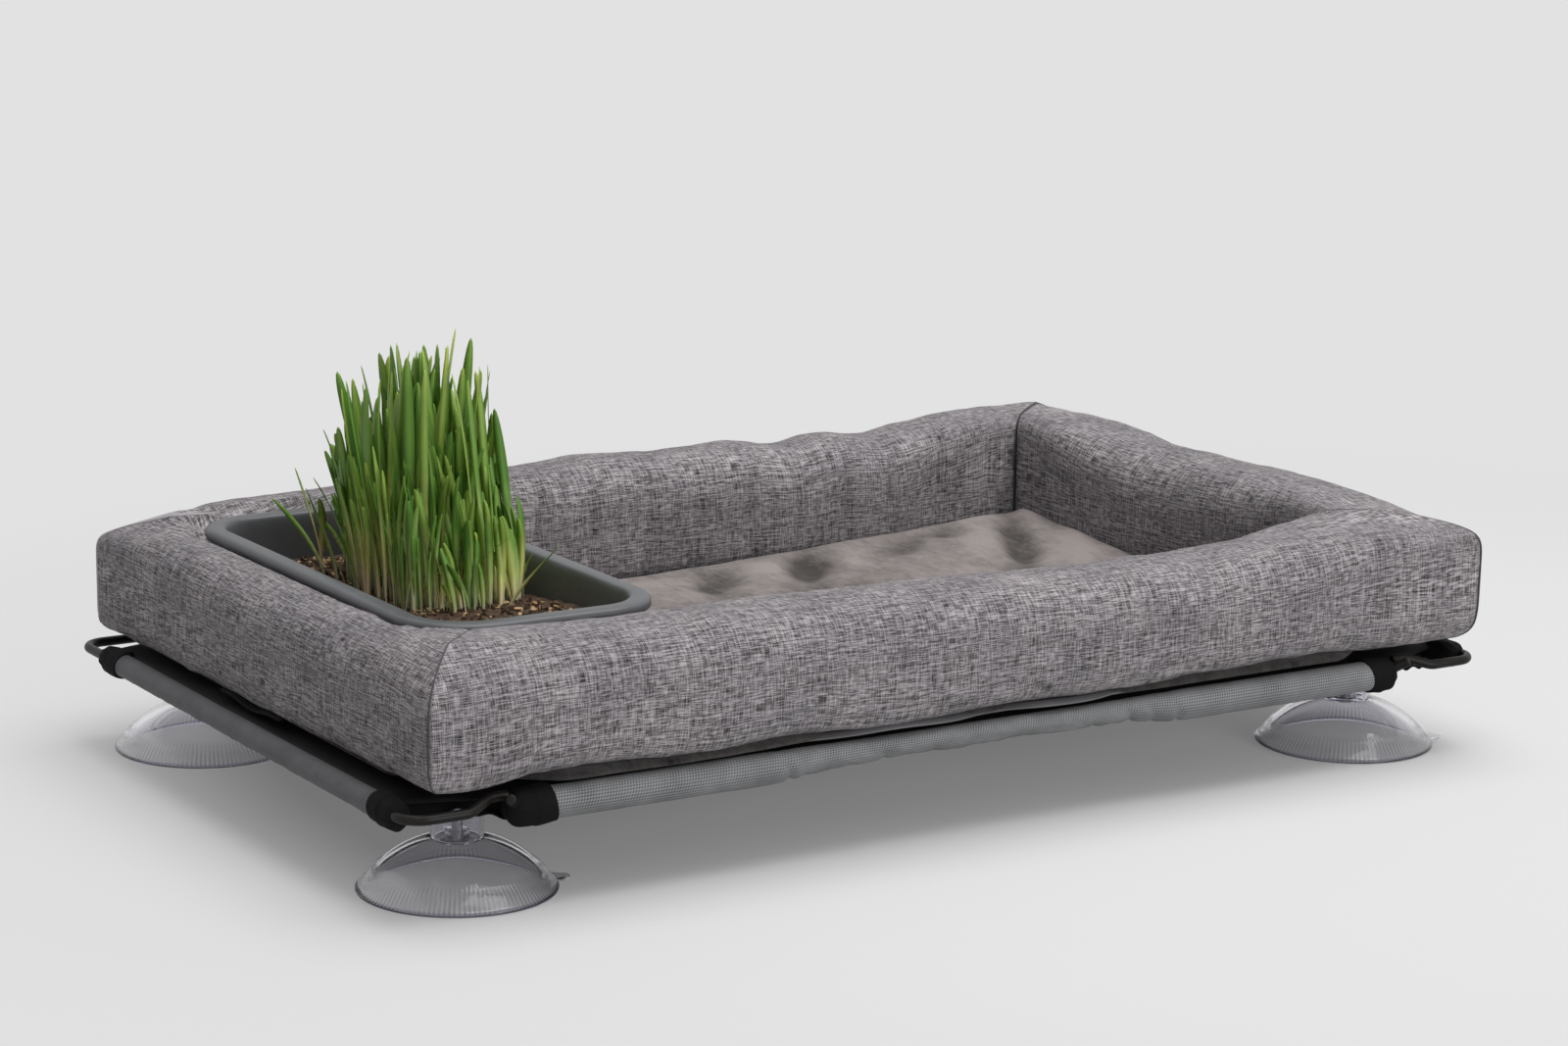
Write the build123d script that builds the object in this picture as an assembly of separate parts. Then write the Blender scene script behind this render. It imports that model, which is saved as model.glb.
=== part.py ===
"""Window mounted cat perch: a wire frame on four suction cups, a canvas sling, a bolstered
bed and a tray of cat grass.

The origin lies on the surface that the cups stand on, midway between them. +X runs along
the long side, +Y runs from the front rail to the rear rail and +Z points up. All lengths
are in millimetres.
"""
from build123d import *
import math
import os

# Driving dimensions of the wire frame
wire_dia = 4.76
bow_spacing = 606.0
leg_spacing = 363.0
wire_height = 47.8
bow_bend_radius = 12.0
crank_bend_radius = 9.0
leg_length = 30.0
crank_length = 12.5
crank_inset = 6.0
crank_rise = 3.9
hook_length = 9.0
rail_inset = 6.5
rail_turn_reach = 246.0
rail_tip_reach = 9.0
rail_tip_out = 10.0
rail_tip_rise = 7.6
rail_bend_radius = 6.0

# Driving dimensions of the canvas sling
long_sleeve_dia = 15.6
short_sleeve_dia = 12.0
long_sleeve_drop = 2.6
sleeve_canvas = 0.8
sleeve_flange = 12.0
long_sleeve_length = 494.0
short_sleeve_length = 332.0
panel_thickness = 1.0
panel_cut_along = 48.0
panel_cut_across = 14.0
sewing_gap = 0.3
tape_thickness = 0.9
long_tape_width = 17.0
short_tape_width = 26.0
tape_gap = 0.15
patch_thickness = 1.0
patch_along = 66.0
patch_across = 62.0
edge_tape_width = 8.0
foam_length = 112.0
foam_end_inset = 8.0
foam_gap = 0.15

# Driving dimensions of the four suction cups
cup_spacing_along = 512.0
cup_spacing_across = 273.2
cup_rim_dia = 91.0
cup_height = 23.0
cup_wall = 2.6
cup_lip_width = 3.0
cup_lip_height = 1.8
cup_bulge = 3.4
tab_width = 12.0
tab_reach = 6.5
tab_thickness = 1.3
tab_lift = 0.3
neck_dia = 24.2
neck_wall = 1.6
neck_top_thickness = 2.4
boss_dia = 11.0
boss_height = 4.0
stud_seat_depth = 4.4
stud_dia = 5.0
stud_head_dia = 12.0
stud_head_thickness = 1.6
washer_dia = 16.0
washer_thickness = 0.8
eyelet_dia = 18.0
eyelet_barrel_dia = 11.0
eyelet_flange = 0.5
running_clearance = 0.05
turning_gap = 0.1

# Driving dimensions of the bed
mat_length = 574.0
mat_depth = 344.0
mat_thickness = 4.1
mat_cut_along = 65.0
mat_cut_across = 42.0
mat_edge_radius = 1.2
lift_gap = 0.3
pocket_margin = 1.5
pocket_headroom = 0.5
bed_length = 593.0
bed_depth = 368.0
bed_shift = 2.5
bolster_width = 57.0
bolster_height = 60.0
cushion_height = 8.6
cushion_side = 5.0
cushion_gap = 0.3
strap_length = 66.0
strap_width = 6.5
strap_thickness = 1.6
strap_bow = 2.0
strap_slot = 0.8

# Driving dimensions of the planter and its grass
planter_length = 269.0
planter_width = 127.0
planter_rim_height = 116.0
planter_along = -201.5
planter_across = 6.0
planter_depth = 50.0
planter_corner_radius = 34.0
planter_wall = 2.0
planter_floor = 2.4
planter_taper = 7.0
rim_width = 8.5
rim_thickness = 2.2
rim_drop = 5.0
rim_edge_radius = 0.9
soil_drop = 24.0
soil_gap = 0.3
soil_crown = 1.2
grass_height = 133.0
grass_slice = 1.6
grass_shift_along = 13.5
grass_shift_across = 26.0
blade_width = 2.5
blade_thickness = 1.1
blade_tip_width = 0.9
blade_tip_thickness = 0.4
blade_pitch = 5.4
blade_jitter = 0.8
blade_spread = 8.0
blade_sway = 2.0

# One overrun serves every cut
overrun = 5.0

# Crest heights as shares of the bolster's height, each list from one corner to the next
front_crest_shares = (0.88, 0.92, 0.96, 0.94, 0.97, 1.00, 1.03)
rear_crest_shares = (0.90, 0.98, 1.06, 1.09, 1.07, 1.12, 1.18)
left_crest_shares = (0.88, 0.87, 0.90, 0.87, 0.90)
right_crest_shares = (1.03, 1.00, 1.06, 1.11, 1.18)

# Section of a bolster, as shares of its width and height
bolster_foot_share = 0.07
bolster_belly_share = 0.36
bolster_shoulder_share = 0.72
bolster_shoulder_inset_share = 0.06

# Crown of the seat cushion, as shares of its height, from the left end to the right end
cushion_crown_shares = (0.62, 0.86, 0.90, 1.00, 0.98, 0.90, 0.60)
cushion_shoulder_share = 0.55

# Blade counts and how much shorter the outer blades stand
blade_columns = 12
blade_rows = 27
edge_height_share = 0.34
tuft_height_share = 0.12

# Directions of the release tabs, in degrees from +X
tab_angles = {"front_left": -12.6, "front_right": -24.3, "rear_left": 22.0, "rear_right": 204.0}

# Signs of the four corners along X and Y
corner_signs = {
    "front_left": (-1, -1),
    "front_right": (1, -1),
    "rear_left": (-1, 1),
    "rear_right": (1, 1),
}

# Levels and radii worked out from the sizes above
wire_radius = wire_dia / 2
rail_spacing = leg_spacing - 2 * rail_inset
long_sleeve_radius = long_sleeve_dia / 2
short_sleeve_radius = short_sleeve_dia / 2
long_sleeve_height = wire_height - long_sleeve_drop
sleeve_top = long_sleeve_height + long_sleeve_radius
short_sleeve_height = sleeve_top - short_sleeve_radius
panel_top = sleeve_top - sleeve_canvas
panel_bottom = panel_top - panel_thickness
patch_bottom = panel_bottom - patch_thickness
eyelet_top = panel_top + eyelet_flange
eyelet_bottom = patch_bottom - eyelet_flange
neck_top = eyelet_bottom - turning_gap
washer_bottom = eyelet_top + turning_gap
stud_top = washer_bottom + washer_thickness + stud_head_thickness
mat_bottom = sleeve_top + lift_gap
mat_top = mat_bottom + mat_thickness
long_sleeve_across = rail_spacing / 2
bow_slack = short_sleeve_radius - sleeve_canvas - wire_radius - sewing_gap
bow_lift = wire_height - short_sleeve_height
short_sleeve_along = bow_spacing / 2 - math.sqrt(bow_slack**2 - bow_lift**2)
panel_half_length = short_sleeve_along - short_sleeve_radius - sewing_gap
panel_half_depth = long_sleeve_across - long_sleeve_radius - sewing_gap
planter_bottom = planter_rim_height - planter_depth
soil_top = planter_rim_height - soil_drop


def corner_place(name):
    """Centre of one suction cup, as x and y."""
    sign_x, sign_y = corner_signs[name]
    return sign_x * cup_spacing_along / 2, sign_y * cup_spacing_across / 2


def mirrored(shape, name):
    """Bring a shape made for the rear right corner to the corner of this name."""
    sign_x, sign_y = corner_signs[name]
    if sign_x < 0:
        shape = mirror(shape, about=Plane.YZ)
    if sign_y < 0:
        shape = mirror(shape, about=Plane.XZ)
    return shape


def prism(points, bottom, top):
    """Upright prism over a flat outline of x and y points."""
    outline = Plane.XY.offset(bottom) * make_face(Polyline(*points, close=True))
    return extrude(outline, amount=top - bottom)


def rounded_face(length_x, length_y, radius, level):
    """Flat rectangle with round corners at one level, centred on the planter."""
    place = Plane(origin=(planter_along, planter_across, level))
    return place * RectangleRounded(length_x, length_y, radius)


def bent_wire(points, radii):
    """Round wire along straight runs joined by tangent arcs."""
    route = FilletPolyline(*points, radius=radii)
    section = Plane(origin=route @ 0, z_dir=route % 0) * Circle(wire_radius)
    return sweep(section, path=route)


def bow():
    """Right bow: a run along Y, two corners and two cranked ends that carry the rails."""
    run_x = bow_spacing / 2
    leg_y = leg_spacing / 2
    foot_x = run_x - leg_length
    crank_x = foot_x - crank_length
    tip_x = crank_x - hook_length
    hook_y = leg_y - crank_inset
    hook_z = wire_height + crank_rise
    half = [
        (tip_x, hook_y, hook_z),
        (crank_x, hook_y, hook_z),
        (foot_x, leg_y, wire_height),
        (run_x, leg_y, wire_height),
    ]
    other_half = [(x, -y, z) for x, y, z in reversed(half)]
    bends = [crank_bend_radius, crank_bend_radius, bow_bend_radius]
    return bent_wire(half + other_half, bends + bends[::-1])


def rail():
    """Rear rail: a straight run whose two ends turn up and out in front of the bows."""
    turn = (rail_turn_reach, rail_spacing / 2, long_sleeve_height)
    tip = (
        rail_turn_reach + rail_tip_reach,
        rail_spacing / 2 + rail_tip_out,
        long_sleeve_height + rail_tip_rise,
    )
    ends = [(-tip[0], tip[1], tip[2]), (-turn[0], turn[1], turn[2])]
    return bent_wire(ends + [turn, tip], [rail_bend_radius, rail_bend_radius])


def sleeve(radius, length):
    """Canvas tube along X with its sewn flange towards -Y, centred on its own axis."""
    profile = Plane.YZ.offset(-length / 2)
    flange_reach = radius + sleeve_flange
    flange = Pos(-flange_reach / 2, radius - sleeve_canvas / 2)
    section = Circle(radius) + flange * Rectangle(flange_reach, sleeve_canvas)
    section -= Circle(radius - sleeve_canvas)
    return extrude(profile * section, amount=length)


def end_tape(radius, length, width):
    """Binding tape round the right end of a sleeve, open where the flange leaves it."""
    profile = Plane.YZ.offset(length / 2 - width)
    inner = radius + tape_gap
    outer = inner + tape_thickness
    slot_height = sleeve_canvas + 2 * tape_gap
    slot = Pos(-outer, radius - sleeve_canvas / 2)
    section = Circle(outer) - Circle(inner) - slot * Rectangle(2 * outer, slot_height)
    slit = extrude(profile * section, amount=width)
    return max(slit.solids(), key=lambda solid: solid.volume)


def sleeve_places():
    """Radius, length, tape width and place of each sleeve, its flange turned inwards."""
    across = long_sleeve_across
    along = short_sleeve_along
    long_sizes = (long_sleeve_radius, long_sleeve_length, long_tape_width)
    short_sizes = (short_sleeve_radius, short_sleeve_length, short_tape_width)
    return {
        "front": (*long_sizes, Pos(0, -across, long_sleeve_height) * Rot(0, 0, 180)),
        "rear": (*long_sizes, Pos(0, across, long_sleeve_height)),
        "left": (*short_sizes, Pos(-along, 0, short_sleeve_height) * Rot(0, 0, 90)),
        "right": (*short_sizes, Pos(along, 0, short_sleeve_height) * Rot(0, 0, -90)),
    }


def corner_holes(radius, bottom, top):
    """Four upright round cutters, one over each suction cup."""
    cutters = []
    for name in corner_signs:
        x, y = corner_place(name)
        hole = Plane(origin=(x, y, bottom)) * Circle(radius)
        cutters.append(extrude(hole, amount=top - bottom))
    return cutters


def cut_rectangle(half_x, half_y, cut_x, cut_y):
    """Outline of a rectangle whose four corners are cut off."""
    quarter = [(half_x, half_y - cut_y), (half_x - cut_x, half_y)]
    left = [(-x, y) for x, y in reversed(quarter)]
    upper = quarter + left
    lower = [(x, -y) for x, y in reversed(upper)]
    return upper + lower


def sling_panel():
    """Canvas sheet between the sleeves, with its corners cut off and four eyelet holes."""
    points = cut_rectangle(
        panel_half_length, panel_half_depth, panel_cut_along, panel_cut_across
    )
    sheet = prism(points, panel_bottom, panel_top)
    for hole in corner_holes(eyelet_barrel_dia / 2, panel_bottom, panel_top):
        sheet -= hole
    return sheet


def corner_binding():
    """Rear right corner: a patch under the sling that folds over its cut edge."""
    start = Vector(panel_half_length - panel_cut_along, panel_half_depth)
    end = Vector(panel_half_length, panel_half_depth - panel_cut_across)
    inward = Vector(start.Y - end.Y, end.X - start.X).normalized() * -1
    patch = [
        (start.X, start.Y),
        (end.X, end.Y),
        (end.X, panel_half_depth - panel_cut_across - patch_across + edge_tape_width),
        (panel_half_length - patch_along, panel_half_depth - patch_across - edge_tape_width),
        (start.X - edge_tape_width, start.Y - edge_tape_width),
    ]
    plate = prism(patch, patch_bottom, panel_bottom)
    outside = [start - inward * tape_thickness, end - inward * tape_thickness]
    inside = [end + inward * edge_tape_width, start + inward * edge_tape_width]
    strip = [(point.X, point.Y) for point in outside + inside]
    fold = prism(strip, patch_bottom, panel_top + tape_thickness)
    sheet = cut_rectangle(
        panel_half_length, panel_half_depth, panel_cut_along, panel_cut_across
    )
    fold -= prism(sheet, panel_bottom, panel_top)
    binding = plate + fold
    x, y = corner_place("rear_right")
    hole = Plane(origin=(x, y, patch_bottom)) * Circle(eyelet_barrel_dia / 2)
    binding -= extrude(hole, amount=patch_thickness)
    for radius, length, _, place in sleeve_places().values():
        tube_gap = radius + tape_gap + tape_thickness + sewing_gap
        reach = tube_gap + sleeve_flange
        keep_out = Plane.YZ.offset(-length / 2 - sewing_gap) * Circle(tube_gap)
        binding -= place * extrude(keep_out, amount=length + 2 * sewing_gap)
        flange_room = Pos(0, -reach / 2, radius)
        binding -= place * flange_room * Box(
            length + 2 * sewing_gap, reach, 2 * sleeve_canvas
        )
    return max(binding.solids(), key=lambda solid: solid.volume)


def eyelet(name):
    """Flanged ring that lines the hole which a stud turns in."""
    x, y = corner_place(name)
    base = Plane(origin=(x, y, eyelet_bottom))
    lower = extrude(base * Circle(eyelet_dia / 2), amount=eyelet_flange)
    upper = Pos(0, 0, panel_top - eyelet_bottom) * lower
    barrel = extrude(base * Circle(eyelet_barrel_dia / 2), amount=eyelet_top - eyelet_bottom)
    bore = base * Circle(stud_dia / 2 + running_clearance)
    return lower + upper + barrel - extrude(bore, amount=eyelet_top - eyelet_bottom)


def foam_tube(side_x):
    """Foam tube that fills one end of the rear sleeve, round the rail."""
    outer_end = long_sleeve_length / 2 - foam_end_inset
    start = outer_end - foam_length
    outer = long_sleeve_radius - sleeve_canvas - foam_gap
    section = Circle(outer) - Circle(wire_radius + foam_gap)
    place = Pos(0, long_sleeve_across, long_sleeve_height)
    tube = extrude(Plane.YZ.offset(start) * section, amount=foam_length)
    if side_x < 0:
        tube = mirror(tube, about=Plane.YZ)
    return place * tube


def suction_cup(name):
    """Thin dome, open below, with a flat rim, a boss for the stud and a release tab."""
    rim = cup_rim_dia / 2
    flat = neck_dia / 2 + cup_wall / 2
    inner_rim = rim - cup_lip_width
    shoulder = rim - cup_lip_height
    middle = (shoulder + flat) / 2
    rise = cup_height - cup_lip_height
    outer_mid = (middle + cup_bulge / 2, cup_lip_height + rise / 2 + cup_bulge)
    inner_top = cup_height - cup_wall
    inner_flat = flat - cup_wall
    inner_mid = ((inner_rim + inner_flat) / 2, inner_top / 2 + cup_bulge)
    outline = [
        Line((0, cup_height), (flat, cup_height)),
        ThreePointArc((flat, cup_height), outer_mid, (shoulder, cup_lip_height)),
        Line((shoulder, cup_lip_height), (rim, cup_lip_height / 2)),
        Line((rim, cup_lip_height / 2), (rim, 0)),
        Line((rim, 0), (inner_rim, 0)),
        ThreePointArc((inner_rim, 0), inner_mid, (inner_flat, inner_top)),
        Line((inner_flat, inner_top), (0, inner_top)),
        Line((0, inner_top), (0, cup_height)),
    ]
    dome = revolve(Plane.XZ * make_face(outline), axis=Axis.Z)
    boss_top = cup_height + boss_height
    base = Plane.XY.offset(inner_top)
    dome += extrude(base * Circle(boss_dia / 2), amount=boss_top - inner_top)
    seat = Plane.XY.offset(boss_top - stud_seat_depth)
    dome -= extrude(
        seat * Circle(stud_dia / 2 + running_clearance), amount=stud_seat_depth
    )
    tab_length = tab_reach + cup_lip_width
    tab_middle = rim + tab_reach - tab_length / 2
    tongue = SlotCenterToCenter(tab_length, tab_width)
    tab = extrude(Pos(tab_middle - tab_width / 2, 0, tab_lift) * tongue, amount=tab_thickness)
    hollow = extrude(Plane.XY * Circle(rim - cup_lip_height / 2), amount=cup_height)
    x, y = corner_place(name)
    return Pos(x, y, 0) * Rot(0, 0, tab_angles[name]) * (dome + (tab - hollow))


def neck(name):
    """Clear tube that spaces the cup from the sling, closed on top round the stud."""
    x, y = corner_place(name)
    height = neck_top - cup_height
    base = Plane(origin=(x, y, cup_height))
    tube = extrude(base * Circle(neck_dia / 2), amount=height)
    tube -= extrude(base * Circle(neck_dia / 2 - neck_wall), amount=height - neck_top_thickness)
    return tube - extrude(base * Circle(stud_dia / 2 + running_clearance), amount=height)


def stud(name):
    """Screw stud from the cup's boss to its flat head above the sling."""
    x, y = corner_place(name)
    foot = cup_height + boss_height - stud_seat_depth
    head_bottom = stud_top - stud_head_thickness
    shank = extrude(Plane(origin=(x, y, foot)) * Circle(stud_dia / 2), amount=stud_top - foot)
    head = Plane(origin=(x, y, head_bottom)) * Circle(stud_head_dia / 2)
    return shank + extrude(head, amount=stud_head_thickness)


def stud_washer(name):
    """Flat washer between the stud's head and the eyelet."""
    x, y = corner_place(name)
    ring = Circle(washer_dia / 2) - Circle(stud_dia / 2 + running_clearance)
    return extrude(Plane(origin=(x, y, washer_bottom)) * ring, amount=washer_thickness)


def base_mat():
    """Dark fleece mat under the bed, with shallow pockets over the stud heads."""
    points = cut_rectangle(mat_length / 2, mat_depth / 2, mat_cut_along, mat_cut_across)
    mat = prism(points, mat_bottom, mat_top)
    mat = chamfer(mat.faces().sort_by(Axis.Z)[0].edges(), mat_edge_radius)
    pocket_top = stud_top + pocket_headroom
    for pocket in corner_holes(washer_dia / 2 + pocket_margin, mat_bottom, pocket_top):
        mat -= pocket
    return mat


def bolster_section(height):
    """Outline of a stuffed bolster: flat foot, bulging sides and a crowned top."""
    foot = bolster_width * bolster_foot_share
    belly = height * bolster_belly_share
    shoulder = height * bolster_shoulder_share
    inset = bolster_width * bolster_shoulder_inset_share
    outer = bolster_width
    edges = [
        Line((foot, 0), (outer - foot, 0)),
        ThreePointArc((outer - foot, 0), (outer, belly), (outer - inset, shoulder)),
        ThreePointArc((outer - inset, shoulder), (outer / 2, height), (inset, shoulder)),
        ThreePointArc((inset, shoulder), (0, belly), (foot, 0)),
    ]
    return make_face(edges)


def bolster(length, crest_shares):
    """Stuffed bolster along X whose outer side lies at Y zero, mitred at both ends."""
    stations = len(crest_shares) - 1
    sections = []
    for index, share in enumerate(crest_shares):
        x = length * (index / stations - 1 / 2)
        place = Plane(origin=(x, bolster_width, mat_top), x_dir=(0, -1, 0), z_dir=(-1, 0, 0))
        sections.append(place * bolster_section(bolster_height * share))
    tube = loft(sections)
    outer = length / 2 + overrun
    inner = length / 2 - bolster_width - overrun
    mitre = [
        (-outer, -overrun),
        (outer, -overrun),
        (inner, bolster_width + overrun),
        (-inner, bolster_width + overrun),
    ]
    return tube & prism(mitre, mat_top - overrun, mat_top + 2 * bolster_height)


def planter_room():
    """Space that the planter fills and needs on its way up, with a soft gap round it."""
    gap = lift_gap
    skirt = planter_rim_height - rim_drop - gap
    taper = 2 * planter_taper
    wide_x = planter_width - 2 * rim_width + 2 * gap
    wide_y = planter_length - 2 * rim_width + 2 * gap
    radius = planter_corner_radius - rim_width + gap
    low = rounded_face(wide_x - taper, wide_y - taper, radius, planter_bottom - gap)
    high = rounded_face(wide_x, wide_y, radius, skirt)
    body = loft([low, high])
    above = rounded_face(
        planter_width + 2 * gap, planter_length + 2 * gap, planter_corner_radius + gap, skirt
    )
    return body + extrude(above, amount=2 * bolster_height)


def cushion():
    """Seat cushion between the bolsters: crowned, with drawn-in sides."""
    half_x = bed_length / 2 - bolster_width - cushion_gap
    half_y = bed_depth / 2 - bolster_width - cushion_gap
    stations = len(cushion_crown_shares) - 1
    sections = []
    for index, share in enumerate(cushion_crown_shares):
        x = half_x * (2 * index / stations - 1)
        crown = cushion_height * share
        side = crown * cushion_shoulder_share
        edges = [
            Line((half_y - cushion_side / 2, 0), (cushion_side / 2 - half_y, 0)),
            Line((cushion_side / 2 - half_y, 0), (-half_y, side / 2)),
            Line((-half_y, side / 2), (cushion_side - half_y, side)),
            ThreePointArc((cushion_side - half_y, side), (0, crown), (half_y - cushion_side, side)),
            Line((half_y - cushion_side, side), (half_y, side / 2)),
            Line((half_y, side / 2), (half_y - cushion_side / 2, 0)),
        ]
        place = Plane(origin=(x, 0, mat_top), x_dir=(0, 1, 0), z_dir=(1, 0, 0))
        sections.append(place * make_face(edges))
    return Pos(bed_shift, 0, 0) * loft(sections)


def side_strap():
    """Webbing loop under the right bolster's edge, sewn at both ends and slack between."""
    half = strap_length / 2
    top = mat_top
    sewn = top - strap_thickness
    low = sewn - strap_bow
    loop = [
        Line((-half, top), (half, top)),
        Line((half, top), (half, sewn)),
        ThreePointArc((half, sewn), (0, low), (-half, sewn)),
        Line((-half, sewn), (-half, top)),
    ]
    slot_top = top - strap_slot
    slot_low = low + strap_thickness
    slot = [
        Line((-half / 2, slot_top), (half / 2, slot_top)),
        ThreePointArc((half / 2, slot_top), (0, slot_low), (-half / 2, slot_top)),
    ]
    inner = mat_length / 2 + sewing_gap
    place = Plane(origin=(inner, 0, 0), x_dir=(0, 1, 0), z_dir=(1, 0, 0))
    section = make_face(loop) - make_face(slot)
    return extrude(place * section, amount=strap_width)


def planter_box():
    """Tray with tapered walls, a floor and a flanged rim with a turned-down edge."""
    taper = 2 * planter_taper
    wide_x = planter_width - 2 * rim_width
    wide_y = planter_length - 2 * rim_width
    radius = planter_corner_radius - rim_width
    top = planter_rim_height
    low = rounded_face(wide_x - taper, wide_y - taper, radius, planter_bottom)
    high = rounded_face(wide_x, wide_y, radius, top)
    body = loft([low, high])
    flange = rounded_face(planter_width, planter_length, planter_corner_radius, top)
    body += extrude(flange, amount=-rim_thickness)
    edge = rounded_face(planter_width, planter_length, planter_corner_radius, top)
    edge -= rounded_face(
        planter_width - 2 * planter_wall,
        planter_length - 2 * planter_wall,
        planter_corner_radius - planter_wall,
        top,
    )
    body += extrude(edge, amount=-rim_drop)
    body = fillet(body.faces().sort_by(Axis.Z)[-1].edges(), rim_edge_radius)
    return body - planter_hollow(planter_bottom + planter_floor, top)


def planter_hollow(bottom, top):
    """Inside of the tray between two levels, whose walls keep one thickness."""
    levels = [bottom, top]
    faces = []
    for level in levels:
        share = (planter_rim_height - level) / planter_depth
        inset = 2 * (rim_width + planter_wall + planter_taper * share)
        radius = planter_corner_radius - rim_width - planter_wall
        faces.append(
            rounded_face(planter_width - inset, planter_length - inset, radius, level)
        )
    return loft(faces)


def soil():
    """Bed of soil in the tray, a little higher along its middle."""
    bottom = planter_bottom + planter_floor
    room = planter_hollow(bottom, soil_top + soil_crown)
    reach = planter_length / 2
    crown = [
        Line((-reach, bottom), (reach, bottom)),
        Line((reach, bottom), (reach, soil_top - soil_crown)),
        ThreePointArc((reach, soil_top - soil_crown), (0, soil_top), (-reach, soil_top - soil_crown)),
        Line((-reach, soil_top - soil_crown), (-reach, bottom)),
    ]
    place = Plane(
        origin=(planter_along - planter_width / 2, planter_across, 0),
        x_dir=(0, 1, 0),
        z_dir=(1, 0, 0),
    )
    hill = extrude(place * make_face(crown), amount=planter_width)
    return room & hill


def blade(x, y, height, turn, lean_x, lean_y):
    """One four-sided blade of grass that leans and narrows to its tip."""
    foot = Plane(origin=(x, y, soil_top)) * Rot(0, 0, turn) * Rectangle(blade_width, blade_thickness)
    tip_place = Plane(origin=(x + lean_x, y + lean_y, soil_top + height))
    tip = tip_place * Rot(0, 0, turn) * Rectangle(blade_tip_width, blade_tip_thickness)
    return loft([foot, tip], ruled=True)


def grass():
    """Blades fused to a thin slice of soil, fanned outwards so that none cross."""
    centre_x = planter_along + grass_shift_along
    centre_y = planter_across + grass_shift_across
    half_x = blade_pitch * (blade_columns - 1) / 2
    half_y = blade_pitch * (blade_rows - 1) / 2
    blades = []
    for column in range(blade_columns):
        for row in range(blade_rows):
            number = column * blade_rows + row
            share_x = 2 * column / (blade_columns - 1) - 1
            share_y = 2 * row / (blade_rows - 1) - 1
            wander_x = math.sin(number * 2.4) * blade_jitter
            wander_y = math.cos(number * 3.7) * blade_jitter
            edge = max(abs(share_x), abs(share_y)) ** 2
            tuft = math.sin(number * 1.7)
            height = grass_height * (1 - edge_height_share * edge - tuft_height_share * abs(tuft))
            lean_x = share_x * blade_spread + math.sin(number * 5.1) * blade_sway
            lean_y = share_y * blade_spread + math.cos(number * 4.3) * blade_sway
            x = centre_x + half_x * share_x + wander_x
            y = centre_y + half_y * share_y + wander_y
            blades.append(blade(x, y, height, number * 137.5, lean_x, lean_y))
    margin = blade_pitch
    slab = Pos(centre_x, centre_y, soil_top + grass_slice / 2) * Box(
        2 * half_x + margin, 2 * half_y + margin, grass_slice
    )
    return slab.fuse(*blades)


def build_frame(parts):
    """Wire frame with the sling, its sleeves, bindings, eyelets and foam."""
    parts["bow_right"] = bow()
    parts["bow_left"] = mirror(parts["bow_right"], about=Plane.YZ)
    parts["rail_rear"] = rail()
    parts["rail_front"] = mirror(parts["rail_rear"], about=Plane.XZ)
    parts["sling_panel"] = sling_panel()
    tapes = []
    for side, (radius, length, width, place) in sleeve_places().items():
        parts[f"sleeve_{side}"] = place * sleeve(radius, length)
        tape = end_tape(radius, length, width)
        tapes += [place * tape, place * mirror(tape, about=Plane.YZ)]
    parts["sleeve_end_tapes"] = Compound(children=tapes)
    binding = corner_binding()
    for name in corner_signs:
        parts[f"corner_binding_{name}"] = mirrored(binding, name)
        parts[f"eyelet_{name}"] = eyelet(name)
    for end, sign_x in (("left", -1), ("right", 1)):
        rear = foam_tube(sign_x)
        parts[f"sleeve_foam_rear_{end}"] = rear
        parts[f"sleeve_foam_front_{end}"] = mirror(rear, about=Plane.XZ)


def build_cups(parts):
    """Four suction cups, each with its neck, stud and washer."""
    for name in corner_signs:
        parts[f"suction_cup_{name}"] = suction_cup(name)
        parts[f"cup_neck_{name}"] = neck(name)
        parts[f"cup_stud_{name}"] = stud(name)
        parts[f"stud_washer_{name}"] = stud_washer(name)


def build_bed(parts):
    """Mat, cushion, four mitred bolsters and two side straps."""
    room = planter_room()
    half_depth = bed_depth / 2
    left_end = bed_shift - bed_length / 2
    right_end = bed_shift + bed_length / 2
    front = Pos(bed_shift, -half_depth, 0) * bolster(bed_length, front_crest_shares)
    rear_shares = rear_crest_shares[::-1]
    rear = Pos(bed_shift, half_depth, 0) * Rot(0, 0, 180) * bolster(bed_length, rear_shares)
    left_shares = left_crest_shares[::-1]
    left = Pos(left_end, 0, 0) * Rot(0, 0, -90) * bolster(bed_depth, left_shares)
    right = Pos(right_end, 0, 0) * Rot(0, 0, 90) * bolster(bed_depth, right_crest_shares)
    parts["base_mat"] = base_mat()
    parts["cushion"] = cushion() - room
    parts["bolster_front"] = front - room
    parts["bolster_rear"] = rear - room
    parts["bolster_left"] = left - room
    parts["bolster_right"] = right
    parts["side_strap_right"] = side_strap()
    parts["side_strap_left"] = mirror(parts["side_strap_right"], about=Plane.YZ)


def build_planter(parts):
    """Tray, soil and grass."""
    parts["planter_box"] = planter_box()
    parts["soil"] = soil()
    parts["cat_grass"] = grass()


def main():
    parts = {}
    build_frame(parts)
    build_cups(parts)
    build_bed(parts)
    build_planter(parts)
    os.makedirs("parts", exist_ok=True)
    for name, shape in parts.items():
        export_step(shape, f"parts/{name}.step")


main()
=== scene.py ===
"""Window mounted cat perch: a wire frame on four suction cups, a canvas sling, a padded bed
with stuffed bolsters and a tray of cat grass. Lengths are in metres."""

import logging
import math
from dataclasses import dataclass, field
from enum import Enum
from functools import cached_property

import bpy
import numpy as np
from mathutils import Matrix, Vector


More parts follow.
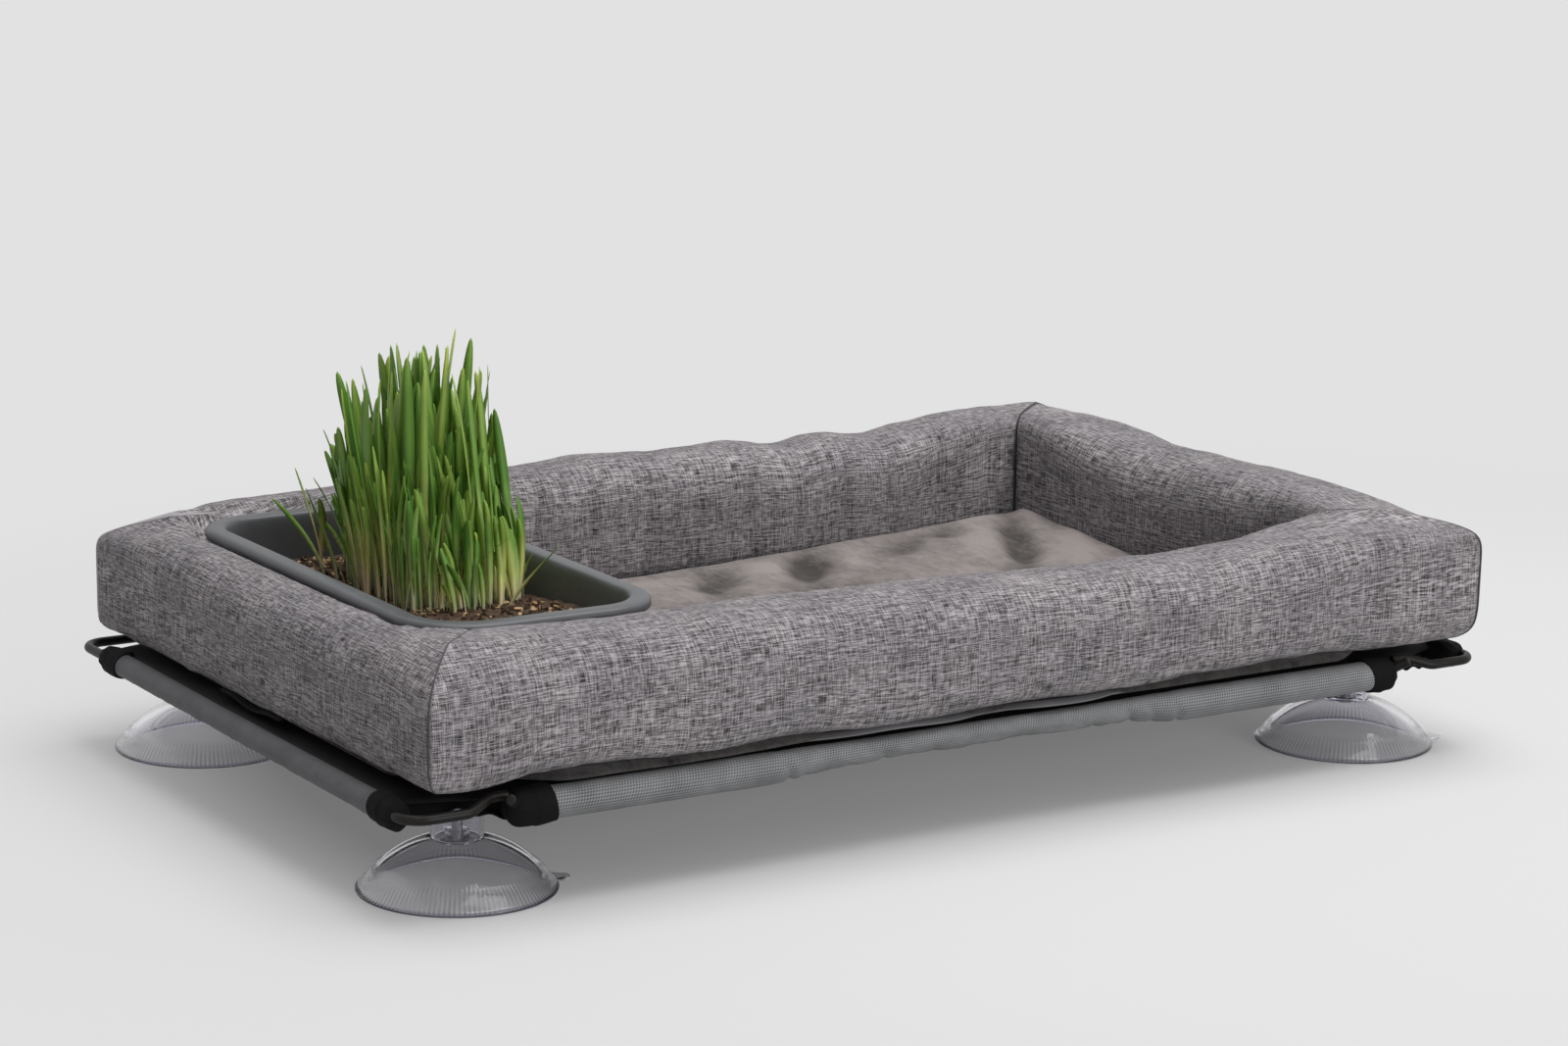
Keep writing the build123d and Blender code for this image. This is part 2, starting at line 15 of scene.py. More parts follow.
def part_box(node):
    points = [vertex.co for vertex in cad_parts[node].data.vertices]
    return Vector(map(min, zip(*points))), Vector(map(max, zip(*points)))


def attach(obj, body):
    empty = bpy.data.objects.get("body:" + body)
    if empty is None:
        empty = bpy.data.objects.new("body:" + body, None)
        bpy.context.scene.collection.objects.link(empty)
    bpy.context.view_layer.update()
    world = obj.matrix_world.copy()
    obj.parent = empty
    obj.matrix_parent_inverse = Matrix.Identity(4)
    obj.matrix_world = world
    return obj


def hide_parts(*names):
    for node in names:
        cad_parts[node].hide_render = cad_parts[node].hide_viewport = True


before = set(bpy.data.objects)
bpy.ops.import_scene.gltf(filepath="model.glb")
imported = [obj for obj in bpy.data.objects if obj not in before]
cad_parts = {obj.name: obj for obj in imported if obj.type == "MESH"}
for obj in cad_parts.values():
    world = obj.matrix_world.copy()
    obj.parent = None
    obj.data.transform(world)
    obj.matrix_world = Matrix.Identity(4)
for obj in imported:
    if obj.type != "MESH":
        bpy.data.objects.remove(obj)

log = logging.getLogger("cat_perch")
Array = np.ndarray
Colour = tuple[float, float, float]
Floats = tuple[float, ...]
Pair = tuple[float, float]
Triple = tuple[float, float, float]
Socket = bpy.types.NodeSocket
Piece = bpy.types.Object
Material = bpy.types.Material
Pairs = tuple[Pair, ...]
Surface = tuple[Array, Array, Array]
MM = 0.001
TAU = 2 * math.pi
UP = np.array([0.0, 0.0, 1.0])
SEED = 20
CUP_RIM = 45.5 * MM
CUP_RIBS = 120
RIB_START = 35.5 * MM


# Mesh helpers


def as_mesh(name: str, points: Array, quads: Array, uv: Array | float = 0.0) -> Piece:
    """Make an object from arrays of points and quads, with a metric UV map.

    Args:
        name: The piece's name.
        points: Its vertices as rows of x, y and z, or a grid of them.
        quads: Four vertex numbers for each face; a triangle repeats its last.
        uv: Metres of u and v at each corner of each quad, or 0 for none.

    Returns:
        The object, linked to the scene.
    """
    mesh = bpy.data.meshes.new(name)
    faces = [tuple(dict.fromkeys(row)) for row in quads.tolist()]
    mesh.from_pydata(points.reshape(-1, 3).tolist(), [], faces)
    keep = np.ones(quads.shape, bool)
    keep[:, 3] = quads[:, 3] != quads[:, 2]
    layer = mesh.uv_layers.new(name="UVMap")
    corners = np.broadcast_to(uv, (*quads.shape, 2))[keep]
    layer.data.foreach_set("uv", corners.ravel().astype(np.float32))
    mesh.polygons.foreach_set("use_smooth", [True] * len(mesh.polygons))
    mesh.update()
    piece = bpy.data.objects.new(name, mesh)
    bpy.context.scene.collection.objects.link(piece)
    return piece


def outward(piece: Piece) -> Piece:
    """Turn all faces of a piece outwards.

    Args:
        piece: The piece.

    Returns:
        The same piece.
    """
    bpy.context.view_layer.objects.active = piece
    piece.select_set(True)
    bpy.ops.object.mode_set(mode="EDIT")
    bpy.ops.mesh.select_all(action="SELECT")
    bpy.ops.mesh.normals_make_consistent(inside=False)
    bpy.ops.object.mode_set(mode="OBJECT")
    piece.select_set(False)
    return piece


def thicken(piece: Piece, thickness: float, offset: float) -> None:
    """Give a sheet its thickness.

    Args:
        piece: The sheet.
        thickness: Its thickness.
        offset: -1 to thicken it inwards, 0 for both sides.
    """
    solid = piece.modifiers.new("thickness", "SOLIDIFY")
    solid.thickness = thickness
    solid.offset = offset
    bpy.context.view_layer.update()
    seen = bpy.context.evaluated_depsgraph_get()
    mesh = bpy.data.meshes.new_from_object(piece.evaluated_get(seen))
    piece.modifiers.clear()
    piece.data = mesh


def ring_angles(columns: int) -> Array:
    """Evenly spaced angles once round, without the last."""
    return np.linspace(0, TAU, columns, endpoint=False)


def share_grid(rows: int, columns: int, start: float = -1) -> Array:
    """Two grids of shares from start to 1: the first changes by row, the second by column."""
    both = np.linspace(start, 1, rows), np.linspace(start, 1, columns)
    return np.array(np.meshgrid(*both, indexing="ij"))


def spots(x: Array, y: Array, z: Array | float) -> Array:
    """Points from their x, y and z, which broadcast to one grid."""
    return np.stack(np.broadcast_arrays(x, y, z), -1)


def grid_quads(rows: int, columns: int, wrap: bool = False, ring: bool = False) -> Array:
    """Quads of a grid of rows by columns vertices.

    Args:
        rows: Number of rows of vertices.
        columns: Number of vertices in a row.
        wrap: Whether a row's last vertex joins its first.
        ring: Whether the last row joins the first as well.

    Returns:
        One row of four vertex numbers for each quad.
    """
    i = np.arange(rows if ring else rows - 1)[:, None]
    j = np.arange(columns if wrap or ring else columns - 1)
    below, right = (i + 1) % rows * columns, (j + 1) % columns
    corners = [i * columns + j, i * columns + right, below + right, below + j]
    return np.stack(corners, -1).reshape(-1, 4)


def grid_uv(u: Array, v: Array, wrap_length: Array | float | None = None) -> Array:
    """UV corners for grid_quads, where u and v are grids of metres along and around.

    Args:
        u: Distance along, for each vertex.
        v: Distance around, for each vertex.
        wrap_length: Distance all the way round, where the grid wraps.

    Returns:
        One row of four corners for each quad.
    """
    u, v = np.broadcast_arrays(u, v)
    if wrap_length is not None:
        u = np.concatenate([u, u[:, :1]], 1)
        v = np.concatenate([v, np.broadcast_to(wrap_length, (v.shape[0], 1))], 1)
    both = np.stack([u, v], -1)
    corners = np.stack([both[:-1, :-1], both[:-1, 1:], both[1:, 1:], both[1:, :-1]], 2)
    return corners.reshape(-1, 4, 2)


def grid_normals(points: Array) -> Array:
    """Unit normals of a grid that wraps: the cross product of its two directions.

    Args:
        points: The grid.

    Returns:
        A normal for each point.
    """
    along = np.gradient(points, axis=0)
    around = (np.roll(points, -1, 1) - np.roll(points, 1, 1)) / 2
    normal = np.cross(around, along)
    return normal / np.maximum(np.linalg.norm(normal, axis=-1, keepdims=True), 1e-12)


def closed_tube(points: Array, u: Array, v: Array, girth: Array | float) -> Surface:
    """Closed surface from a grid that wraps round its columns, with a fan at each end.

    Args:
        points: Grid of points, one row for each ring.
        u: Metres along, for each vertex.
        v: Metres around, for each vertex.
        girth: Metres all the way round.

    Returns:
        Its points, quads and UV corners, as as_mesh takes them.
    """
    rows, columns, _ = points.shape
    flat = points.reshape(-1, 3)
    j = np.arange(columns)
    after = (j + 1) % columns
    first, last = np.full(columns, len(flat)), np.full(columns, len(flat) + 1)
    top = (rows - 1) * columns
    fan_start = np.stack([after, j, first, first], 1)
    fan_end = np.stack([top + j, top + after, last, last], 1)
    fan_uv = np.zeros((2 * columns, 4, 2))
    fan_uv[..., 0] = np.repeat([u.min(), u.max()], columns)[:, None]
    return (
        np.vstack([flat, points[0].mean(0), points[-1].mean(0)]),
        np.vstack([grid_quads(rows, columns, True), fan_start, fan_end]),
        np.vstack([grid_uv(u, v, girth), fan_uv]),
    )


def joined(surfaces: list[Surface]) -> Surface:
    """Several surfaces as one, their vertices numbered on from each other."""
    starts = np.cumsum([0] + [len(points) for points, _, _ in surfaces])
    return (
        np.vstack([points for points, _, _ in surfaces]),
        np.vstack([quads + start for (_, quads, _), start in zip(surfaces, starts)]),
        np.vstack([uv for _, _, uv in surfaces]),
    )


def pad_between(upper: Array, lower: Array) -> tuple[Array, Array]:
    """A closed pad between two grids that share their outline.

    Args:
        upper: Grid of the upper side.
        lower: Grid of the lower side.

    Returns:
        Its points and quads.
    """
    rows, columns, _ = upper.shape
    count = rows * columns
    edge = np.concatenate([
        np.arange(columns), np.arange(1, rows) * columns + columns - 1,
        (rows - 1) * columns + np.arange(columns - 2, -1, -1),
        np.arange(rows - 2, 0, -1) * columns,
    ])
    after = np.roll(edge, -1)
    walls = np.stack([edge, after, after + count, edge + count], 1)
    top = grid_quads(rows, columns)[:, ::-1]
    points = np.vstack([upper.reshape(-1, 3), lower.reshape(-1, 3)])
    return points, np.vstack([top, grid_quads(rows, columns) + count, walls])


def smooth_noise(a: Array, b: Array, seed: int, octaves: int = 3) -> Array:
    """Smooth lumps in about -1 to 1: sines of two lengths in turned, shifted directions.

    Args:
        a: First coordinate, in wavelengths.
        b: Second coordinate, in wavelengths.
        seed: Number that picks the shifts.
        octaves: Number of layers, each half as long and half as high.

    Returns:
        A value for each point.
    """
    draw = np.random.default_rng(seed)
    total = np.zeros(np.broadcast(a, b).shape)
    for octave in range(octaves):
        for _ in range(5):
            angle, shift_a, shift_b, bend = draw.uniform(0, TAU, 4)
            scale = TAU * 2**octave * draw.uniform(0.7, 1.4)
            s = a * math.cos(angle) + b * math.sin(angle)
            t = b * math.cos(angle) - a * math.sin(angle)
            wave = np.sin(scale * s + shift_a + 1.3 * np.sin(scale * 0.6 * t + shift_b))
            total += wave * np.cos(scale * 0.5 * t + bend) / 2**octave
    return total / 4.0


def smooth_step(share: Array) -> Array:
    """Rise from 0 to 1 with level ends, for a share from 0 to 1."""
    return share**2 * (3 - 2 * share)


def bell(distance: Array, power: float = 2) -> Array:
    """Bell curve: 1 at a distance of 0, and falling on both sides of it."""
    return np.exp(-(distance**power))


def share_of(value: Array, start: float, end: float) -> Array:
    """How far a value has come from start to end, held between 0 and 1."""
    return np.clip((value - start) / (end - start), 0, 1)


def unit(vectors: Array) -> Array:
    """The vectors with a length of one."""
    return vectors / np.linalg.norm(vectors, axis=-1, keepdims=True)


def path_sides(points: Array) -> tuple[Array, Array]:
    """Directions to the side and the top of a path that runs roughly level.

    Args:
        points: The path.

    Returns:
        Unit vectors to the side and to the top.
    """
    tangent = unit(np.gradient(points, axis=0))
    side = unit(np.cross(tangent, UP))
    return side, np.cross(side, tangent)


def rounded_path(corners: Array, radii: list[float], step: float) -> Array:
    """Points along straight runs joined by tangent arcs, about one step apart.

    Args:
        corners: The path's corner points.
        radii: One radius for each inner corner.
        step: Distance between points.

    Returns:
        The path's points.
    """
    stretches = [corners[:1]]
    last = corners[0]
    for before, corner, after, radius in zip(corners, corners[1:], corners[2:], radii):
        into, out = unit(corner - before), unit(after - corner)
        turn = math.acos(float(np.clip(into @ out, -1, 1)))
        start = corner - into * radius * math.tan(turn / 2)
        centre = start + radius * unit(out - into * (into @ out))
        arc = np.linspace(0, turn, max(4, int(radius * turn / step) + 2))[:, None]
        away = (start - centre) * np.cos(arc) + into * radius * np.sin(arc)
        stretches += [straight_run(last, start, step), centre + away]
        last = centre + away[-1]
    stretches.append(straight_run(last, corners[-1], step))
    return np.vstack(stretches + [corners[-1:]])


def straight_run(start: Array, end: Array, step: float) -> Array:
    """Points strictly between two ends, about one step apart."""
    count = max(2, int(np.linalg.norm(end - start) / step))
    return start + (end - start) * (np.arange(1, count) / count)[:, None]


def arc_through(start: Array, middle: Array, end: Array, count: int) -> Array:
    """Points on the circle through three points, from the first to the last.

    With the points as complex numbers x, y and z and w = (z - x) / (y - x), the circle's
    middle is x + (y - x) (w - |w|^2) / (2i Im w).

    Args:
        start: First point, x and y.
        middle: A point between them.
        end: Last point.
        count: Number of points.

    Returns:
        One row of x and y for each point.
    """
    x, y, z = (complex(*point) for point in (start, middle, end))
    w = (z - x) / (y - x)
    centre = x + (y - x) * (w - abs(w) ** 2) / (2j * w.imag)
    turns = np.unwrap(np.angle(np.array([x, y, z]) - centre))
    arc = centre + abs(x - centre) * np.exp(1j * np.linspace(turns[0], turns[2], count))
    return np.stack([arc.real, arc.imag], 1)


def rounded_rectangle(half_x: Array, half_y: Array, radius: Array, count: int) -> Array:
    """Outlines with round corners: one loop of count points for each row of sizes.

    The points of a quarter close in on the corner along one side, go round it, at its
    centre plus the radius times cosine and sine, and then away along the next side.

    Args:
        half_x: Half length along X of each loop.
        half_y: Half length along Y of each loop.
        radius: Corner radius of each loop.
        count: Number of points in a loop.

    Returns:
        Loops by points by x and y.
    """
    quarters = np.linspace(0, TAU, count, endpoint=False) / (TAU / 4)
    quarter = np.floor(quarters).astype(int) % 4
    within = quarters - np.floor(quarters)
    arc_part = 0.42
    side_part = (1 - arc_part) / 2
    turn = np.clip((within - side_part) / arc_part, 0, 1)
    first, last = np.minimum(np.stack([within, 1 - within]) / side_part, 1)
    x_share, y_share = np.where(quarter % 2, [first, last], [last, first])
    sign_x = np.array([1, -1, -1, 1])[quarter]
    sign_y = np.array([1, 1, -1, -1])[quarter]
    angle = (quarter + turn) * TAU / 4
    radius = radius[:, None]
    x = sign_x * (half_x[:, None] - radius) * x_share + radius * np.cos(angle)
    y = sign_y * (half_y[:, None] - radius) * y_share + radius * np.sin(angle)
    return np.stack([x, y], -1)


def through(values: Floats, place: Array) -> Array:
    """Smooth curve through evenly spaced values, at places from 0 to 1.

    Between two values it is the cubic whose slope at each is half the difference of the
    values on both sides of it.

    Args:
        values: The values.
        place: Where to read the curve.

    Returns:
        A value for each place.
    """
    v = np.array(values)
    count = len(v) - 1
    s = np.clip(place, 0, 1) * count
    i = np.minimum(s.astype(int), count - 1)
    f = s - i
    before, a, b, after = v[np.maximum(i - 1, 0)], v[i], v[i + 1], v[np.minimum(i + 2, count)]
    bend = 2 * before - 5 * a + 4 * b - after + f * (3 * (a - b) + after - before)
    return a + 0.5 * f * (b - before + f * bend)


def rounded_gap(x_y: Array, half: Array, corner: float) -> tuple[Array, Array]:
    """Distance outside a rectangle with round corners, and the direction away from it.

    Args:
        x_y: Points measured from the rectangle's middle.
        half: Half sizes along X and Y.
        corner: Radius of its corners.

    Returns:
        The distance, negative inside, and a unit vector for each point.
    """
    over = np.abs(x_y) - (half - corner)
    beyond = np.maximum(over, 0)
    length = np.linalg.norm(beyond, axis=-1)
    gap = length + np.minimum(over.max(-1), 0) - corner
    nearest = np.stack([over[..., 0] >= over[..., 1], over[..., 0] < over[..., 1]], -1)
    outside = length[..., None]
    away = np.where(outside > 1e-9, beyond / np.maximum(outside, 1e-9), nearest)
    return gap, away * np.where(x_y < 0, -1, 1)


def signed_power(value: Array, power: float) -> Array:
    """A value's size to a power, with its sign kept."""
    return np.sign(value) * np.abs(value) ** power


# Finishes


class Nodes:
    """Small builder for the nodes of a material or of the world."""

    def __init__(self, owner: Material | bpy.types.World) -> None:
        """Take up the node tree of a new material or world."""
        owner.use_nodes = True
        self.owner, self.tree = owner, owner.node_tree

    def add(self, kind: str, links: dict | None = None, **settings: object) -> bpy.types.Node:
        """Add a node, set its settings and link or set its inputs.

        Args:
            kind: The node's type.
            links: Input name or number to a socket or a plain value.
            settings: Attributes of the node.

        Returns:
            The node.
        """
        node = self.tree.nodes.new(kind)
        for key, value in settings.items():
            setattr(node, key, value)
        for key, value in (links or {}).items():
            self.put(node.inputs[key], value)
        return node

    def put(self, socket: Socket, value: object) -> None:
        """Link a socket to another, or set its value.

        Args:
            socket: The input.
            value: A socket or a plain value; a colour may lack its alpha.
        """
        if isinstance(value, bpy.types.NodeSocket):
            self.tree.links.new(value, socket)
        elif socket.type == "RGBA" and len(value) == 3:
            socket.default_value = (*value, 1.0)
        else:
            socket.default_value = value

    def coords(self, source: str, scale: Triple = (1.0, 1.0, 1.0)) -> Socket:
        """Object or UV coordinates, scaled, as a vector."""
        texture = self.add("ShaderNodeTexCoord").outputs[source]
        return self.add("ShaderNodeMapping", {"Vector": texture, "Scale": scale}).outputs["Vector"]

    def parts(self, vector: Socket) -> bpy.types.NodeOutputs:
        """A vector's X, Y and Z."""
        return self.add("ShaderNodeSeparateXYZ", {"Vector": vector}).outputs

    def noise(self, vector: Socket, scale: float, detail: float, rough: float) -> Socket:
        """Noise from 0 to 1 on a vector."""
        inputs = {"Vector": vector, "Scale": scale, "Detail": detail, "Roughness": rough}
        return self.add("ShaderNodeTexNoise", inputs).outputs["Fac"]

    def bands(self, vector: Socket, axis: str, pitch: float, wander: float) -> Socket:
        """Sine bands across an axis, one for each pitch, from 0 to 1."""
        inputs = {"Vector": vector, "Scale": math.pi / 10 / pitch, "Distortion": wander}
        return self.add("ShaderNodeTexWave", inputs, bands_direction=axis).outputs["Fac"]

    def sheared(self, slant: float) -> Socket:
        """UV coordinates with a share of V added to U.

        Args:
            slant: The share.

        Returns:
            The coordinates.
        """
        parts = self.parts(self.add("ShaderNodeTexCoord").outputs["UV"])
        leaned = self.weighed((parts["X"], 1.0), (parts["Y"], slant))
        return self.add("ShaderNodeCombineXYZ", {"X": leaned, "Y": parts["Y"]}).outputs["Vector"]

    def ramp(self, factor: Socket, *stops: tuple[float, Colour]) -> Socket:
        """Colours along a factor.

        Args:
            factor: Where on the ramp.
            stops: Place and colour of each stop.

        Returns:
            The colour.
        """
        node = self.add("ShaderNodeValToRGB", {"Fac": factor})
        elements = node.color_ramp.elements
        while len(elements) < len(stops):
            elements.new(0.5)
        for element, (place, colour) in zip(elements, stops):
            element.position = place
            element.color = (*colour, 1.0)
        return node.outputs["Color"]

    def math(self, operation: str, *values: object, clamp: bool = False) -> Socket:
        """One sum, product or other operation on values."""
        inputs = dict(enumerate(values))
        return self.add("ShaderNodeMath", inputs, operation=operation, use_clamp=clamp).outputs[0]

    def weighed(self, *shares: tuple[Socket, float]) -> Socket:
        """Sum of sockets, each times its share.

        Args:
            shares: Each socket with its share.

        Returns:
            The sum.
        """
        total = self.math("MULTIPLY", *shares[0])
        for value, share in shares[1:]:
            total = self.math("MULTIPLY_ADD", value, share, total)
        return total

    def beyond(self, value: Socket, start: float, rate: float) -> Socket:
        """0 up to a start and rising at a rate to 1 after it."""
        return self.math("MULTIPLY", self.math("SUBTRACT", value, start), rate, clamp=True)

    def mix(self, factor: object, a: object, b: object, blend: str = "MIX") -> Socket:
        """Mix two colours, each a socket or a plain colour."""
        inputs = {0: factor, 6: a, 7: b}
        return self.add("ShaderNodeMix", inputs, data_type="RGBA", blend_type=blend).outputs[2]

    def bump(self, height: Socket, distance: float, strength: float) -> Socket:
        """Normal from a height, where distance is the relief in metres."""
        inputs = {"Height": height, "Distance": distance, "Strength": strength}
        return self.add("ShaderNodeBump", inputs).outputs["Normal"]

    def finish(self, **inputs: object) -> Material:
        """Set the shader's inputs.

        Args:
            inputs: Each input by its name, with underscores for spaces.

        Returns:
            The material.
        """
        for key, value in inputs.items():
            self.put(self.tree.nodes["Principled BSDF"].inputs[key.replace("_", " ")], value)
        return self.owner

    def surface(self, output: str, factor: Socket, first: Socket, second: Socket) -> None:
        """End the tree, at its output node, in a mix of two shaders."""
        mix = self.add("ShaderNodeMixShader", {0: factor, 1: first, 2: second})
        self.put(self.tree.nodes[output].inputs["Surface"], mix.outputs[0])


@dataclass(frozen=True)
class LinenFinish:
    """Heathered linen-look plain weave of slubbed threads in many greys."""

    dark: Colour = (0.024, 0.021, 0.024)
    middle: Colour = (0.238, 0.22, 0.228)
    light: Colour = (0.62, 0.588, 0.608)
    pitch: float = 0.66 * MM
    slub: Pair = (5.6 * MM, 0.45 * MM)
    streak: Pair = (26.0 * MM, 1.0 * MM)

    @cached_property
    def material(self) -> Material:
        """Its material, where warp and weft take tones from noise drawn out along the thread.

        The product of two bands, one across U and one across V, says which thread lies on
        top. Broad noise lightens and darkens patches, and the same heights give the bump.
        """
        n = Nodes(bpy.data.materials.new("bolster_linen_weave"))
        plain = n.coords("UV")
        weft, warp = self.thread(n, 1), self.thread(n, -1)
        weft_tone = n.ramp(weft, (0.415, self.dark), (0.5, self.middle), (0.59, self.light))
        warp_tone = n.ramp(warp, (0.4, self.dark), (0.5, self.middle), (0.595, self.light))
        across, along = (
            n.math("SUBTRACT", n.bands(plain, axis, self.pitch, 0.8), 0.5) for axis in "XY"
        )
        product = n.math("MULTIPLY", across, along)
        over = n.math("MULTIPLY_ADD", product, 1.8, 0.58, clamp=True)
        threads = n.mix(over, warp_tone, weft_tone)
        cloud = n.noise(plain, 26.0, 3.0, 0.6)
        shade = n.ramp(cloud, (0.3, (0.82, 0.82, 0.84)), (0.72, (1.15, 1.13, 1.13)))
        relief = n.weighed((weft, 0.9), (warp, 0.9), (n.math("ABSOLUTE", product), 1.2))
        return n.finish(
            Base_Color=n.mix(1.0, threads, shade, "MULTIPLY"), Roughness=0.95,
            Normal=n.bump(relief, 0.5 * MM, 0.8), Sheen_Weight=0.08, Sheen_Roughness=0.6,
            Specular_IOR_Level=0.12,
        )

    def thread(self, n: Nodes, order: int) -> Socket:
        """Tone of one set of threads: short slubs and, under them, long pale or dark streaks.

        Args:
            n: The material's nodes.
            order: 1 for threads that run along U, -1 for those along V.

        Returns:
            The tone, from 0 to 1.
        """
        short, long = (
            n.noise(n.coords("UV", (*(1 / size for size in sizes[::order]), 1.0)), 1.0, 1.0, 0.5)
            for sizes in (self.slub, self.streak)
        )
        return n.weighed((short, 0.62), (long, 0.38))


@dataclass(frozen=True)
class PlushFinish:
    """Short pile fabric whose combed patches lie darker or lighter, and whose hollows can carry
    painted shade.
    """

    name: str
    dark: Colour
    light: Colour
    patch: float = 16.0
    pile: float = 420.0
    relief: float = 1.1 * MM
    sheen: float = 0.35
    # Share of painted shade in the hollows, read from the cushion's attribute, which also holds a
    # little random mottling.
    brushed: float = 0.0

    @cached_property
    def material(self) -> Material:
        """Its material: soft patches and pile noise mix two colours; the pile gives the bump.

        Where the piece has the cushion's attribute, its hollows get painted shade: they are darker
        by the share given for it, with a little random mottling mixed in.
        """
        n = Nodes(bpy.data.materials.new(self.name))
        combed = n.coords("Object", (1.0, 0.45, 1.0))
        tuft = n.noise(combed, self.pile * 0.33, 3.0, 0.7)
        pile = n.noise(combed, self.pile, 2.0, 0.6)
        shares = [
            (n.noise(n.coords("Object"), self.patch, 3.0, 0.6), 0.5), (tuft, 0.33), (pile, 0.17)
        ]
        if self.brushed:
            # Painted shade: the attribute is low in the hollows, which darkens the colour there.
            nap = n.add("ShaderNodeAttribute", attribute_name="nap").outputs["Fac"]
            shares.append((n.math("SUBTRACT", nap, 0.5), self.brushed))
        relief = n.weighed((tuft, 0.7), (pile, 0.3))
        return n.finish(
            Base_Color=n.ramp(n.weighed(*shares), (0.26, self.dark), (0.62, self.light)),
            Roughness=1.0, Normal=n.bump(relief, self.relief, 0.8), Sheen_Weight=self.sheen,
            Sheen_Roughness=0.5, Specular_IOR_Level=0.1,
        )


@dataclass(frozen=True)
class RibbedFinish:
    """Woven canvas or tape with fine slanted ribs and a little soiling."""

    name: str
    dark: Colour
    light: Colour
    pitch: float = 1.15 * MM
    slant: float = 0.30
    relief: float = 0.10 * MM
    roughness: float = 0.62
    gloss: float = 0.3

    @cached_property
    def material(self) -> Material:
        """Its material: bands along U, slanted by V, make ribs, and bands across break them up."""
        n = Nodes(bpy.data.materials.new(self.name))
        plain = n.coords("UV")
        ribs = n.bands(n.sheared(self.slant), "X", self.pitch, 0.4)
        cross = n.bands(plain, "Y", self.pitch, 0.4)
        weave = n.weighed((ribs, 0.5), (cross, 0.5))
        tone = n.weighed((weave, 0.52), (n.noise(plain, 45.0, 4.0, 0.6), 0.48))
        return n.finish(
            Base_Color=n.ramp(tone, (0.26, self.dark), (0.74, self.light)),
            Roughness=self.roughness, Normal=n.bump(weave, self.relief, 0.6),
            Specular_IOR_Level=self.gloss,
        )


@dataclass(frozen=True)
class CoatedWireFinish:
    """Satin brown-black coating on steel wire, worn a little lighter in random patches."""

    coat: Colour = (0.008, 0.007, 0.006)
    worn: Colour = (0.022, 0.018, 0.016)

    @cached_property
    def material(self) -> Material:
        """Its material: fine noise gives the bump, a larger one varies tone and gloss."""
        n = Nodes(bpy.data.materials.new("wire_black_coating"))
        place = n.coords("Object")
        tone = n.noise(place, 70.0, 4.0, 0.6)
        speck = n.noise(place, 1500.0, 2.0, 0.5)
        return n.finish(
            Base_Color=n.ramp(tone, (0.45, self.coat), (0.78, self.worn)),
            Roughness=n.math("MULTIPLY_ADD", tone, 0.16, 0.3),
            Normal=n.bump(speck, 0.03 * MM, 0.5), Specular_IOR_Level=0.22,
        )


@dataclass(frozen=True)
class ClearFinish:
    """Clear vinyl or plastic with a faint tint and, where it has them, ribs and a rim line painted
    darker as shade.
    """

    name: str
    tint: Colour
    roughness: float
    index: float
    rib_pitch: float = 0.0
    # Painted shade: colour of the dark violet line along the cup's thick rim.
    lip: Colour = (0.34, 0.32, 0.46)
    rim_shade_start: float = 44.3 * MM

    @cached_property
    def material(self) -> Material:
        """Its material: a tinted transmitting shader with ribs along V beyond a radius on U; the
        ribs' grooves and the rim are painted darker as shade.
        """
        n = Nodes(bpy.data.materials.new(self.name))
        waves = n.noise(n.coords("Object"), 40.0, 2.0, 0.5)
        paler = tuple(min(1.0, c * 1.05) for c in self.tint)
        tone = n.ramp(waves, (0.3, self.tint), (0.7, paler))
        if self.rib_pitch:
            ring = n.coords("UV")
            radius = n.parts(ring)["X"]
            inside = n.beyond(radius, RIB_START, 400.0)
            ribs = n.math("MULTIPLY", n.bands(ring, "Y", self.rib_pitch, 0.0), inside)
            # Painted shade: the ribs' grooves are coloured darker than the vinyl.
            darker = tuple(c * 0.62 for c in self.tint)
            tone = n.mix(n.math("MULTIPLY", ribs, 0.9), tone, darker)
            # Painted shade: the dark violet line from the rim's start radius outwards.
            lip = n.beyond(radius, self.rim_shade_start, 2500.0)
            tone = n.mix(n.math("MULTIPLY", lip, 0.9), tone, self.lip)
            waves = n.math("MULTIPLY_ADD", waves, 0.4, ribs)
        return n.finish(
            Base_Color=tone, Roughness=self.roughness, IOR=self.index, Transmission_Weight=1.0,
            Normal=n.bump(waves, 0.12 * MM, 0.5), Coat_Weight=0.8, Coat_Roughness=0.06,
        )


@dataclass(frozen=True)
class MouldedFinish:
    """Matt moulded plastic or metal with a fine grain and soft scuffs."""

    name: str
    colour: Colour
    scuffed: Colour
    roughness: float
    metallic: float = 0.0

    @cached_property
    def material(self) -> Material:
        """Its material: fine grain gives the bump; broad noise varies tone and gloss."""
        n = Nodes(bpy.data.materials.new(self.name))
        place = n.coords("Object")
        scuff = n.noise(place, 28.0, 5.0, 0.65)
        grain = n.noise(place, 2200.0, 1.0, 0.5)
        return n.finish(
            Base_Color=n.ramp(scuff, (0.4, self.colour), (0.72, self.scuffed)),
            Roughness=n.math("MULTIPLY_ADD", scuff, 0.2, self.roughness - 0.1),
            Normal=n.bump(grain, 0.05 * MM, 0.5), Metallic=self.metallic,
        )


